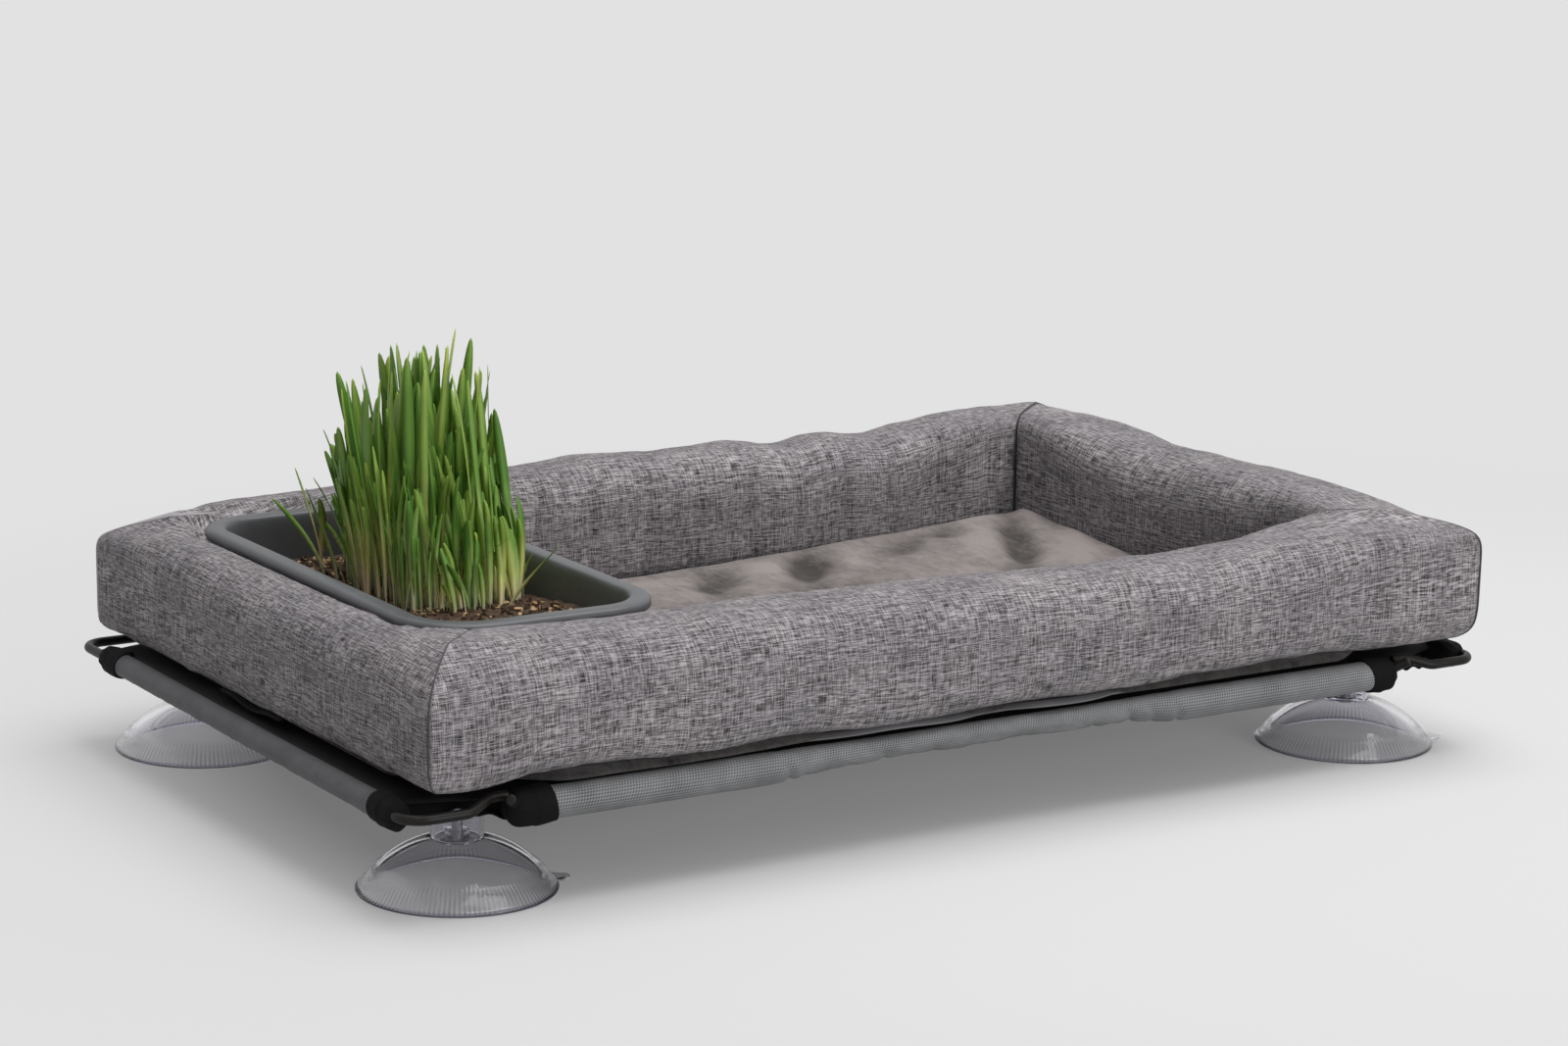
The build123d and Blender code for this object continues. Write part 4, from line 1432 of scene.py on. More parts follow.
@dataclass
class Bed:
    """Fleece mat, plush cushion, four stuffed bolsters and two webbing straps.

    A fold of the cushion is the place of its middle, its half length and half width, its
    turn in degrees and its height, in millimetres.
    """

    palette: Palette
    rows: int = 300
    columns: int = 132
    overhang: float = 2.5 * MM
    box_reach: float = 58 * MM
    round_power: float = 2.55
    seam: float = 0.42 * MM
    seam_sink: float = 0.15 * MM
    seams: list[Array] = field(default_factory=list)
    tray_gap: float = 0.7 * MM
    strap_girth: float = 16 * MM
    strap_thickness: float = 0.7 * MM
    shapes: dict[Side, BolsterShape] = field(default_factory=lambda: {
        Side.FRONT: BolsterShape(
            0.79, 0.34, 4, 4.2,
            (63.5, 61, 60, 60.5, 60, 59, 57.8, 57.6, 60.5, 64.5, 65.5),
            (57, 62.5, 63.5, 59, 57, 57, 57, 57, 57),
            (
                -4, -4.4, 0.5, 1, -1, -2.2, 0.2, -0.8, -3.2, -3.4, 0,
                0, -1.2, -0.4, 1.8, 2.2, 3.2, 3.4, 1, -0.5, -1,
            ),
            ((90, 1, 8), (210, 1.2, 10), (330, 1, 9), (450, 1, 8)),
        ),
        Side.RIGHT: BolsterShape(
            0.87, 0.45, 8, 4.2,
            (65.5, 65, 66.5, 67.8, 66.4, 66.2, 68.6, 70.2, 71),
            (60, 61, 62, 62.5, 65.5),
            (-1, -2.5, -3, -2, -1),
            ((95, 1.8, 9), (150, 1.2, 7), (235, 1.8, 9)),
        ),
        Side.REAR: BolsterShape(
            0.86, 0.50, 7, 5,
            (
                70.6, 71.6, 71.2, 69.8, 66.5, 62.6, 65.6, 62.6, 65.6, 65.2, 66,
                67, 64.6, 64.4, 64.5, 63.2, 63.2, 62.6, 63.5, 64, 64,
            ),
            (54, 55.5, 57, 57, 57, 57, 57),
            (-1, -2, 0.5, 1, -2, -1, 0.5, -1.5, -3),
            (
                (84, 2.4, 4), (118, 3, 3), (127, 1.8, 3), (152, 2.2, 4), (181, 3.4, 3),
                (189, 2, 3), (214, 2.6, 4), (243, 3.4, 3), (252, 2, 4), (276, 2.6, 3),
                (306, 3.4, 4), (341, 2.6, 3), (372, 3.2, 4), (410, 2.5, 4),
            ),
        ),
        Side.LEFT: BolsterShape(
            0.72, 0.65, 9, 7,
            (64, 60, 56.5, 55.5, 55, 55.5, 56, 60, 63.5),
            (57, 57, 57, 57, 57),
            (-5, -5, -4.6, -4.8, -4.6, -4.2, -4.6, -4.8, -4),
        ),
    })
    folds: tuple[Floats, ...] = (
        (10, 84, 30, 12, 60, -5), (30, 96, 16, 9, 75, -2.4), (70, 88, 26, 10, 62, -6.4),
        (47, 100, 20, 10, 30, 2.6), (92, 78, 28, 10, 60, 2.6), (140, 98, 22, 11, 40, -3),
        (173, 104, 12, 9, 40, -2.4), (203, 80, 62, 8, 60, -6.4), (226, 112, 30, 12, 62, 3.2),
        (178, 84, 44, 10, 60, 2.4), (222, 52, 44, 8, 55, 2.2), (-12, 66, 30, 14, 40, 1.8),
        (110, -20, 50, 20, 20, -3), (60, -70, 60, 18, -30, -3.6), (190, -60, 45, 15, 50, -3.4),
        (-60, 20, 40, 18, 80, -3), (-90, -70, 45, 15, 20, -3), (20, 10, 50, 16, 40, -2.6),
    )

    def build(self) -> None:
        """Make the bed's pieces."""
        self.low, self.high = self.outline()
        for side in Side:
            self.bolster(side)
        self.seam_lines()
        self.hem_fold()
        self.cushion()
        self.mat()
        for name in ("left", "right"):
            self.strap(name)

    def outline(self) -> tuple[Array, Array]:
        """The bed's lowest and highest corner in plan, from its bolsters."""
        lows, highs = np.array([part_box(f"bolster_{side.label}") for side in Side]).swapaxes(0, 1)
        return lows.min(0), highs.max(0) + np.array([self.overhang, 0, 0])

    @staticmethod
    def section(share: Array, upper: Array, lower: Array) -> tuple[Array, Array]:
        """Stuffed section: across from 0 outside to 1 inside, and height from 0 to 1.

        It is a superellipse with one power above its middle and another below it.

        Args:
            share: Share of the way round, from the lowest point.
            upper: Power above the middle.
            lower: Power below it.

        Returns:
            The shares across and up.
        """
        angle = share * TAU - TAU / 4
        power = 2 / np.where(np.sin(angle) > 0, upper, lower)
        across = 0.5 + 0.5 * signed_power(np.cos(angle), power)
        return across, 0.5 + 0.5 * signed_power(np.sin(angle), power)

    def bolster(self, side: Side) -> None:
        """One bolster, mitred at both ends.

        A line at share k of the width runs from mitre to mitre, k of the next side's width
        in from each corner. The section turns from round in the middle to a box at the
        corners, under a roof that rises to the ridge. Crest, width and lower edge follow
        their lists, and the relief is added along the normals.

        Args:
            side: Which bolster.
        """
        size = self.high - self.low
        length, depth = (size[0], size[1]) if side.is_long else (size[1], size[0])
        before, first, last = (self.shapes[Side((side.value + turns) % 4)] for turns in (-1, 0, 1))
        share = np.linspace(0, 1, self.columns, endpoint=False)[None]
        even = np.linspace(0, 1, self.rows)[:, None]
        t = even - 0.055 * np.sin(TAU * even) / TAU * 2
        at_first, at_last = (
            bell(np.maximum(part, 0) * length / self.box_reach, 1.7) for part in (t, 1 - t)
        )
        upper = self.round_power + (first.power - self.round_power) * at_first
        upper = upper + (last.power - self.round_power) * at_last
        plump = 4.2 if side is Side.FRONT else 5.4
        lower = plump + (first.lower - plump) * at_first + (last.lower - plump) * at_last
        k, h = self.section(share, upper, lower)
        roof_first, roof_last = (
            (1 - shape.eave) * at_end * np.clip(1 - k / shape.ridge, 0, 1)
            for shape, at_end in ((first, at_first), (last, at_last))
        )
        start = k * before.widths[-1] * MM
        end = length - k * last.widths[0] * MM
        along = start + (end - start) * t
        crest = through(first.crests, along / length) * MM
        out = k * through(first.widths, t) * MM
        hem = through(first.hems, along / length) * MM
        hem = hem * (1 - h) ** 3 * np.clip(1 - k / 0.4, 0, 1)
        foot = self.low[2]
        up = foot + h * crest * (1 - roof_first - roof_last) + hem
        points = spots(along - length / 2, out - depth / 2, up)
        normals = grid_normals(points)
        if normals[self.rows // 2, self.columns // 2, 2] < 0:
            normals = -normals
        to_seam = np.maximum(np.minimum(along - start, end - along), 0)
        relief = self.relief(side, along, to_seam, share + 0 * t, k, h)
        points = points + normals * relief[..., None]
        turned = self.rest_on_mat(self.clear_of_tray(self.turn(points, side)), foot)
        self.seams.append(turned[0])
        step = np.linalg.norm(np.roll(turned, -1, 1) - turned, axis=-1).mean(0, keepdims=True)
        surface = closed_tube(turned, along, np.cumsum(step, 1) - step, step.sum())
        piece = outward(as_mesh(f"bolster_{side.label}_linen", *surface))
        dress(piece, self.palette.linen, "bed", "bolster_linen", f"bolster_{side.label}")

    def relief(
        self, side: Side, along: Array, to_seam: Array, girth_share: Array, k: Array, h: Array
    ) -> Array:
        """Lumps, dents, puckers, tucks and the pinch at the seams of a bolster.

        Args:
            side: Which bolster.
            along: Distance along the side.
            to_seam: Distance to the nearer mitre.
            girth_share: Share of the way round the section.
            k: Share of the width, from outside.
            h: Share of the height.

        Returns:
            How far each point moves out along its normal.
        """
        seed = SEED + 70 + side.value * 7
        lumps = smooth_noise(along / 0.13, girth_share * 1.6, seed, 2) * 1.3 * MM
        dents = smooth_noise(along / 0.042, girth_share * 3.4, seed + 1, 2) * 0.65 * MM
        pucker = smooth_noise(along / 0.012 + girth_share, girth_share * 9, seed + 2, 2)
        pucker = pucker * 0.5 * MM * np.exp(-to_seam / (16 * MM))
        fade = 1 - bell(to_seam / (12 * MM), 1.5)
        inner_face = np.clip(k * 4 - 2.4, 0, 1) * bell((h - 0.55) / 0.36)
        tucks = sum(
            -deep * MM * bell((along - place * MM + 5 * MM * (h - 0.5)) / (wide * MM))
            for place, deep, wide in self.shapes[side].tucks
        )
        pinch = -1.1 * MM * bell(to_seam / (2.2 * MM)) * np.clip(h * 4, 0, 1) * (1 - 0.6 * h**3)
        return (lumps + dents + pucker) * fade + pinch + tucks * inner_face

    def turn(self, points: Array, side: Side) -> Array:
        """Turn points made for the front side about the bed's middle.

        Args:
            points: The points.
            side: Where to turn them.

        Returns:
            The turned points.
        """
        flat = (points[..., 0] + 1j * points[..., 1]) * 1j**side.value
        x_y = np.stack([flat.real, flat.imag], -1) + (self.low + self.high)[:2] / 2
        return np.concatenate([x_y, points[..., 2:]], -1)

    def clear_of_tray(self, points: Array) -> Array:
        """Press the stuffing under the tray's rim and out to its wall.

        Under the rim the level is held below its edge; beside it the limit rises as one
        less an exponential of the distance. Points inside the wall's outline at their level
        move straight out to it.

        Args:
            points: A bolster's points.

        Returns:
            The points clear of the tray.
        """
        low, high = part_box("planter_box")
        middle, half = (np.array([high.x + s * low.x, high.y + s * low.y]) / 2 for s in (1, -1))
        x_y, z = points[..., :2] - middle, points[..., 2]
        rim_gap, _ = rounded_gap(x_y, half, Planter.corner)
        ceiling = high.z - Planter.drop - 0.9 * MM
        limit = ceiling + 15 * MM * (1 - np.exp(-np.maximum(rim_gap, 0) / (7.5 * MM)))
        held = (rim_gap < 45 * MM) & (z > ceiling - 1 * MM)
        z = np.where(held, np.minimum(z, limit), z)
        inset = Planter.rim + Planter.taper * share_of(z, high.z, low.z)
        gap, away = rounded_gap(x_y, half - inset[..., None], Planter.corner - Planter.rim)
        push = np.maximum(self.tray_gap - gap, 0) * (z > low.z - 0.8 * MM)
        moved = points[..., :2] + away * push[..., None]
        return np.concatenate([moved, z[..., None]], -1)

    @staticmethod
    def rest_on_mat(points: Array, foot: float) -> Array:
        """Hold points above the mat's top inside its outline, and above the sleeves outside.

        Args:
            points: A bolster's points.
            foot: Level of the mat's top.

        Returns:
            The points.
        """
        low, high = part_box("base_mat")
        x, y = np.abs(points[..., 0]), np.abs(points[..., 1])
        inside = (x < high.x + 0.4 * MM) & (y < high.y + 0.4 * MM)
        floor = np.where(inside, foot + 0.05 * MM, low.z - 0.5 * MM)
        points[..., 2] = np.maximum(points[..., 2], floor)
        return points

    def seam_lines(self) -> None:
        """Sunken stitched seams round the four mitres.

        Each is a thin tube round the loop where two bolsters meet: the loop's point plus
        the radius times the cosine of an angle outwards and its sine along the axis.
        """
        turn = ring_angles(8)[:, None]
        tubes = []
        for loop in self.seams:
            away = unit(loop - loop.mean(0))
            axis = np.cross(unit(np.roll(loop, -1, 0) - np.roll(loop, 1, 0)), away)
            ring = away[:, None] * np.cos(turn) + axis[:, None] * np.sin(turn)
            points = ((loop - away * self.seam_sink)[:, None] + ring * self.seam).reshape(-1, 3)
            points[:, 2] = np.maximum(points[:, 2], self.low[2] + 0.2 * MM)
            quads = grid_quads(len(loop), len(turn), ring=True)
            tubes.append((points, quads, points[quads][..., :2] + points[quads][..., 2:]))
        piece = outward(as_mesh("cover_seams", *joined(tubes)))
        dress(piece, self.palette.seam, "bed", "bolster_linen")

    def hem_fold(self) -> None:
        """Folded seam edge of the cover, which shows below the front bolster in two places.

        A flat loop of webbing thickness follows the front edge; its level is a sum of two
        bell curves, and it sinks out of sight between them.
        """
        front, level = self.low[1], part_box("base_mat")[0].z
        t = np.linspace(0, 1, 160)[:, None]
        turn = ring_angles(10)[None]
        x = (-104 + 196 * t) * MM
        wave = bell((x / MM + 46) / 40, 4) + 0.9 * bell((x / MM - 47) / 28, 4)
        rise = level + (1.9 + 1.5 * wave + 0.35 * np.sin(x / (11 * MM))) * MM
        across = front + (15.5 - 8.5 * wave) * MM
        y = across + 3.4 * MM * np.cos(turn)
        z = rise + 0.75 * MM * np.sin(turn) + 0.22 * (y - across)
        points = spots(x, y, np.maximum(z, level + 0.1 * MM))
        surface = closed_tube(points, x, turn * 2 * MM, TAU * 2 * MM)
        piece = outward(as_mesh("cover_hem_fold", *surface))
        dress(piece, self.palette.hem, "bed", "bolster_linen")

    def cushion(self) -> None:
        """Plush seat cushion: a crowned pad with dimples and folds.

        Its level is a crown that falls at the edge, plus smooth lumps and the folds' relief.
        """
        low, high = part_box("cushion")
        sx, sy = share_grid(296, 164)
        x = (low.x + high.x) / 2 + sx * (high.x - low.x) / 2
        y = (low.y + high.y) / 2 + sy * (high.y - low.y) / 2
        from_end, from_side = (1 - np.abs(sx)) * (high.x - low.x), 1 - np.abs(sy)
        edge = np.minimum(from_end, from_side * (high.y - low.y)) / 2
        lumps = smooth_noise(x / 0.12, y / 0.10, SEED + 90, 3) * 1.5 * MM
        wrinkles = smooth_noise(x / 0.035, y / 0.05, SEED + 91, 2) * 0.5 * MM
        folds = self.fold_relief(x, y)
        swell = share_of(x, -10 * MM, 235 * MM) ** 1.1
        swell = swell * (0.42 + 0.58 * share_of(y, 20 * MM, 127 * MM))
        crown = high.z - low.z - 2.2 * MM + 12.5 * MM * swell
        crown = crown * share_of(edge, 0, 5 * MM) ** 0.5
        crown = crown + (lumps + wrinkles) * share_of(edge, 0, 14 * MM)
        crown = crown + folds * share_of(edge, 0, 9 * MM)
        tray_low, tray_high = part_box("planter_box")
        under = share_of(x, tray_high.x + 6 * MM, tray_high.x - 8 * MM)
        ceiling = (high.z - low.z + 15 * MM) * (1 - under)
        ceiling = ceiling + under * (tray_low.z - low.z - 0.6 * MM)
        top = low.z + np.maximum(np.minimum(crown, ceiling), 1.5 * MM)
        # Painted shade: this value falls in the folds' hollows and rises on their ridges, plus a
        # little random mottling.
        nap = 0.5 + folds / (8 * MM) + smooth_noise(x / 0.05, y / 0.03, SEED + 92, 3) * 0.10
        piece = self.pad("cushion_plush", x, y, top, np.full_like(x, low.z))
        layer = piece.data.attributes.new("nap", "FLOAT", "POINT")
        nap = np.tile(np.clip(nap, 0, 1).ravel(), 2)
        layer.data.foreach_set("value", nap.astype(np.float32))
        dress(piece, self.palette.plush, "bed", "cushion_plush", "cushion")

    def fold_relief(self, x: Array, y: Array) -> Array:
        """Sum of the cushion's dimples and folds, each a bell curve in its own directions.

        Args:
            x: Points along X.
            y: Points along Y.

        Returns:
            The height to add to each point.
        """
        total = np.zeros_like(x)
        for centre_x, centre_y, long, wide, turn, height in self.folds:
            c, s = math.cos(math.radians(turn)), math.sin(math.radians(turn))
            over_x, over_y = x / MM - centre_x, y / MM - centre_y
            a, b = (over_x * c + over_y * s) / long, (over_y * c - over_x * s) / wide
            total += height * MM * np.exp(-(a**2) - b**2)
        return total

    @staticmethod
    def pad(name: str, x: Array, y: Array, top: Array, bottom: Array) -> Piece:
        """A closed pad over a grid in plan, from its levels at the top and the bottom."""
        points, quads = pad_between(spots(x, y, top), spots(x, y, bottom))
        return outward(as_mesh(name, points, quads, points[quads][..., :2]))

    def mat(self) -> None:
        """Dark fleece mat with cut corners and a soft, rounded, uneven edge."""
        low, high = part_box("base_mat")
        sx, sy = share_grid(220, 140)
        x = sx * high.x
        half_y = high.y - 42 * MM * share_of(np.abs(x), high.x - 65 * MM, high.x)
        wave = smooth_noise(x / 0.06, sy * 0.5, SEED + 95, 2) * 0.8 * MM
        slipped = 5.5 * MM * bell((x / MM + 176) / 70, 4) * (sy < 0)
        y = sy * (half_y + (wave + slipped) * np.abs(sy) ** 8)
        edge = np.clip(np.minimum(1 - np.abs(sx), (1 - np.abs(sy)) * 0.8) * 60, 0, 1) ** 0.5
        middle, half = (low.z + high.z) / 2, (high.z - low.z) / 2 * (0.35 + 0.65 * edge)
        piece = self.pad("base_mat_fleece", x, y, middle + half, middle - half)
        dress(piece, self.palette.fleece, "bed", "mat_fleece", "base_mat")

    def strap(self, name: str) -> None:
        """Webbing loop under a bolster's edge, sewn at both ends and slack between.

        Its line is flat at both ends and hangs as a cosine between them. Its section is a
        superellipse.

        Args:
            name: Which strap.
        """
        low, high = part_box(f"side_strap_{name}")
        rows, columns, power = 60, 12, 0.35
        t = np.linspace(0, 1, rows)[:, None]
        angle = ring_angles(columns)[None]
        y = low.y + (high.y - low.y) * t
        hang = (1 - np.cos(TAU * share_of(t, 0.15, 0.85))) / 2
        thick = self.strap_thickness
        middle = high.z - thick - hang * (high.z - low.z - 2 * thick)
        x = (low.x + high.x) / 2 + (high.x - low.x) / 2 * signed_power(np.cos(angle), power)
        z = middle + thick * signed_power(np.sin(angle), power)
        points = spots(x, y, z)
        girth = self.strap_girth
        surface = closed_tube(points, y, angle / TAU * girth, girth)
        piece = outward(as_mesh(f"side_strap_{name}_webbing", *surface))
        dress(piece, self.palette.binding, "bed", "strap_webbing", f"side_strap_{name}")


# The planter


@dataclass
class Planter:
    """Grey tray with a rolled rim, soil with husk bits and a clump of grass.

    Profiles are pairs of inset and depth below the top, in millimetres: the lip's from the
    wall's inner face, outwards, and the rim's from its outer edge, inwards. The grass's plot
    is its outline in plan, its profile a height's share at places along its lie, and a stray
    is a blade's foot, its lean and its height, all in millimetres.
    """

    palette: Palette
    corner: float = 34 * MM
    rim: float = 8.5 * MM
    wall: float = 2 * MM
    drop: float = 5 * MM
    taper: float = 7 * MM
    floor: float = 2.4 * MM
    heel: float = 5 * MM
    toe: float = 4 * MM
    around: int = 256
    lip_profile: Pairs = ((0.2, 1.6), (0.8, 0.6), (1.8, 0.12), (3.5, 0))
    rim_profile: Pairs = (
        (4, 0), (2.2, 0.15), (1.0, 0.6), (0.25, 1.5), (0, 2.6), (0, 4.6), (0.4, 5), (1.5, 5),
        (1.9, 4.6), (2.0, 2.6), (2.5, 2.2), (7.9, 2.2), (8.5, 2.8),
    )
    blades: int = 320
    blade_rows: int = 14
    plot: Pairs = (
        (-192, 104), (-216, 59), (-222, 20), (-223, -13), (-211, -42), (-188, -43), (-170, -33),
        (-156, -15), (-154, 20), (-156, 104),
    )
    lie: Pair = (0.846, -0.533)
    profile: Pairs = (
        (-226, 0.50), (-214, 0.60), (-205, 0.78), (-197, 0.88), (-188, 0.93), (-176, 1),
        (-155, 1), (-147, 0.95), (-138, 0.92), (-131, 0.84), (-124, 0.66),
    )
    strays: tuple[Floats, ...] = (
        (-217, 78, -30, -4, 50), (-213, 88, -17, -6, 62), (-216, 66, -14, 4, 54),
        (-210, 98, -6, -9, 44), (-219, 36, -14, -10, 40), (-208, -30, 30, -14, 46),
        (-196, -36, -16, -6, 36), (-214, -6, 10, -22, 34), (-180, -38, 24, -10, 40),
        (-168, -26, -22, -8, 44), (-205, -34, -10, -8, 26), (-160, -14, 6, -6, 30),
    )
    stray_width: float = 3.8 * MM

    def build(self) -> None:
        """Make the tray, the soil and the grass."""
        self.low, self.high = np.array(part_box("planter_box"))
        self.soil_low, self.soil_high = np.array(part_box("soil"))
        self.middle = (self.low + self.high) / 2
        self.tray()
        self.soil_bed()
        self.grass()

    def loops(self, insets: Array, levels: Array) -> Array:
        """One rounded outline for each inset from the rim's edge, at its level.

        Args:
            insets: How far each outline stands in from the rim's edge.
            levels: Its height.

        Returns:
            Outlines by points by x, y and z.
        """
        half_x, half_y, _ = (self.high - self.low) / 2
        radii = np.maximum(self.corner - insets, 2 * MM)
        flat = rounded_rectangle(half_x - insets, half_y - insets, radii, self.around)
        points = np.concatenate([flat, np.repeat(levels[:, None, None], self.around, 1)], -1)
        points[..., :2] += self.middle[:2]
        return points

    def inset_at(self, level: Array) -> Array:
        """How far the outer wall stands in from the rim's edge at a level."""
        return self.rim + self.taper * (self.high[2] - level) / (self.high[2] - self.low[2])

    def tray(self) -> None:
        """Profile from the inner floor up the wall, over the rolled rim and down outside.

        The rim is a flat band with rounded edges and a skirt turned down outside.
        """
        top, bottom = self.high[2], self.low[2]
        floor, heel, toe = bottom + self.floor, self.heel, self.toe
        turn = np.linspace(0, TAU / 4, 6)
        inner_foot = self.inset_at(floor) + self.wall
        heel_inset = self.inset_at(floor + heel) + self.wall + heel
        lip = np.array(self.lip_profile) * MM
        rim = np.array(self.rim_profile) * MM
        wall_levels = np.linspace(floor + heel, top - 3 * MM, 10)[1:]
        out_levels = np.linspace(top - 4 * MM, bottom + toe, 8)
        base = self.inset_at(bottom)
        toes = turn[1:]
        runs = [
            ([inner_foot + 45 * MM, inner_foot + heel], [floor, floor]),
            (heel_inset - heel * np.sin(turn), floor + heel - heel * np.cos(turn)),
            (self.inset_at(wall_levels) + self.wall, wall_levels),
            (self.rim + self.wall - lip[:, 0], top - lip[:, 1]),
            (rim[:, 0], top - rim[:, 1]),
            (self.inset_at(out_levels), out_levels),
            (base + toe - toe * np.cos(toes), bottom + toe - toe * np.sin(toes)),
            ([base + 40 * MM], [bottom]),
        ]
        insets, levels = np.concatenate([np.array(run) for run in runs], 1)
        pitch = 3 * MM
        surface = closed_tube(
            self.loops(insets, levels), insets[:, None], np.arange(self.around)[None] * pitch,
            self.around * pitch,
        )
        piece = outward(as_mesh("planter_tray", *surface))
        dress(piece, self.palette.tray, "planter", "planter_plastic", "planter_box")

    def soil_bed(self) -> None:
        """Rough soil surface over a closed block, with crumbs and husk bits on it."""
        levels = np.array([self.soil_low[2] + 0.5 * MM, self.soil_high[2]])
        insets = self.inset_at(levels) + self.wall + np.array([5.5, 0.4]) * MM
        wall, core = self.loops(insets, levels)
        share = np.linspace(1, 1 / 25, 25)[:, None, None]
        x, y = np.moveaxis(self.middle[:2] + (core[:, :2] - self.middle[:2]) * share, -1, 0)
        points = np.concatenate([wall[None], spots(x, y, self.ground(x, y))])
        surface = closed_tube(points, points[..., 0], points[..., 1], 0.0)
        piece = outward(as_mesh("soil_bed", *surface))
        dress(piece, self.palette.soil, "planter", "soil", "soil")
        self.crumbs("soil_crumbs", 1500, (0.7 * MM, 2.2 * MM), self.palette.soil, 130, 1.0)
        self.crumbs("husk_bits", 640, (0.9 * MM, 2.6 * MM), self.palette.husk, 131, 0.35)

    def ground(self, x: Array, y: Array) -> Array:
        """Level of the soil: heaped towards the front of the tray, and rough all over.

        Args:
            x: Points along X.
            y: Points along Y.

        Returns:
            The level at each point.
        """
        heap = 1.2 * MM + 7 * MM * smooth_step(share_of(y, 20 * MM, -60 * MM))
        fine = smooth_noise(x / 0.012, y / 0.012, SEED + 120, 3) * 1.2 * MM
        broad = smooth_noise(x / 0.05, y / 0.05, SEED + 121, 2) * 1.0 * MM
        return self.soil_high[2] + heap + fine + broad

    def crumbs(
        self, name: str, count: int, sizes: Pair, finish: Finish, seed: int, flat: float
    ) -> None:
        """Scattered irregular grains: cubes with moved corners, each turned at random.

        Args:
            name: The piece's name.
            count: Number of grains.
            sizes: Least and greatest size.
            finish: What they are made of.
            seed: Number that picks their places and shapes.
            flat: Thickness, as a share of the size.
        """
        draw = np.random.default_rng(SEED + seed)
        half = (self.soil_high - self.soil_low)[:2] / 2 - 7 * MM
        middle = (self.soil_high + self.soil_low)[:2] / 2
        place = draw.uniform(-1, 1, (count * 2, 2))
        near = np.linalg.norm(np.maximum(np.abs(place) * half - (half - 20 * MM), 0), axis=1)
        place = place[near < 20 * MM][:count]
        count = len(place)
        x, y = (middle + place * half).T
        z = self.ground(x, y) + 0.3 * MM
        size = draw.uniform(*sizes, (count, 1, 1))
        stretch = draw.uniform(0.5, 1.5, (count, 1, 3)) * np.array([1, 1, flat])
        corners = np.array([
            (-1, -1, -1), (1, -1, -1), (1, 1, -1), (-1, 1, -1),
            (-1, -1, 1), (1, -1, 1), (1, 1, 1), (-1, 1, 1),
        ]) * 0.5
        shape = corners * (1 + draw.uniform(-0.35, 0.35, (count, 8, 3))) * size * stretch
        turned = shape @ random_turns(draw, count, 0.5 if flat < 1 else 1.0)
        points = turned + spots(x, y, z)[:, None]
        faces = np.array([
            (0, 3, 2, 1), (4, 5, 6, 7), (0, 1, 5, 4), (1, 2, 6, 5), (2, 3, 7, 6), (3, 0, 4, 7),
        ])
        quads = (faces + 8 * np.arange(count)[:, None, None]).reshape(-1, 4)
        piece = as_mesh(name, points, quads)
        piece.data.polygons.foreach_set("use_smooth", [False] * len(piece.data.polygons))
        dress(piece, finish, "planter", "soil")

    def grass(self) -> None:
        """A clump of broad curved blades, folded along their middle, with a few strays.

        A blade's height follows a list across the clump. It is lower towards the front, and
        one in five is a tall leader or a short, narrow young one.
        """
        draw = np.random.default_rng(SEED + 200)
        ground = self.soil_high[2] - 2.0 * MM
        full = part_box("cat_grass")[1].z - ground
        plot = np.array(self.plot) * MM
        spread = jittered(draw, int(self.blades * 1.35), plot.min(0), plot.max(0))
        side = np.cross((np.roll(plot, -1, 0) - plot)[None], spread[:, None] - plot[None])
        base = spread[(side > 0).all(1) | (side < 0).all(1)]
        count = len(base)
        lie = np.array(self.lie)
        across, depth = base @ lie, base @ (lie[::-1] * (-1, 1))
        places, shares = np.array(self.profile).T
        share = np.interp(across, places * MM, shares)
        behind = share_of(depth, depth.min(), depth.min() + 0.55 * np.ptp(depth))
        leader = draw.uniform(0, 1, count) < 0.20
        ordinary = draw.uniform(0.58, 0.90, count) * (0.52 + 0.48 * behind**1.2)
        leading = draw.uniform(0.93, 1.0, count)
        tall = full * share * np.where(leader & (behind > 0.3), leading, ordinary)
        young = draw.uniform(0, 1, count) < 0.20
        tall = np.where(young, tall * draw.uniform(0.45, 0.80, count), tall)
        right = share_of(across, -152 * MM, -134 * MM)
        aside = np.clip((across + 178 * MM) / (40 * MM), -1, 0) - 0.4 * right
        scatter = draw.normal(0, 6.0 * MM, (count, 2)) * (1 - 0.5 * right)[:, None]
        lean = aside[:, None] * lie * 11 * MM + scatter * (0.5 + 0.7 * tall / full)[:, None]
        width = draw.uniform(4.0, 6.4, count) * MM * np.where(young, 0.6, 1.0)
        width = width * (0.74 + 0.26 * behind)
        strays = np.array(self.strays) * MM
        self.blade_mesh(
            draw, np.vstack([base, strays[:, :2]]), ground, np.concatenate([tall, strays[:, 4]]),
            np.vstack([lean, strays[:, 2:4]]),
            np.concatenate([width, np.full(len(strays), self.stray_width)]), full,
        )

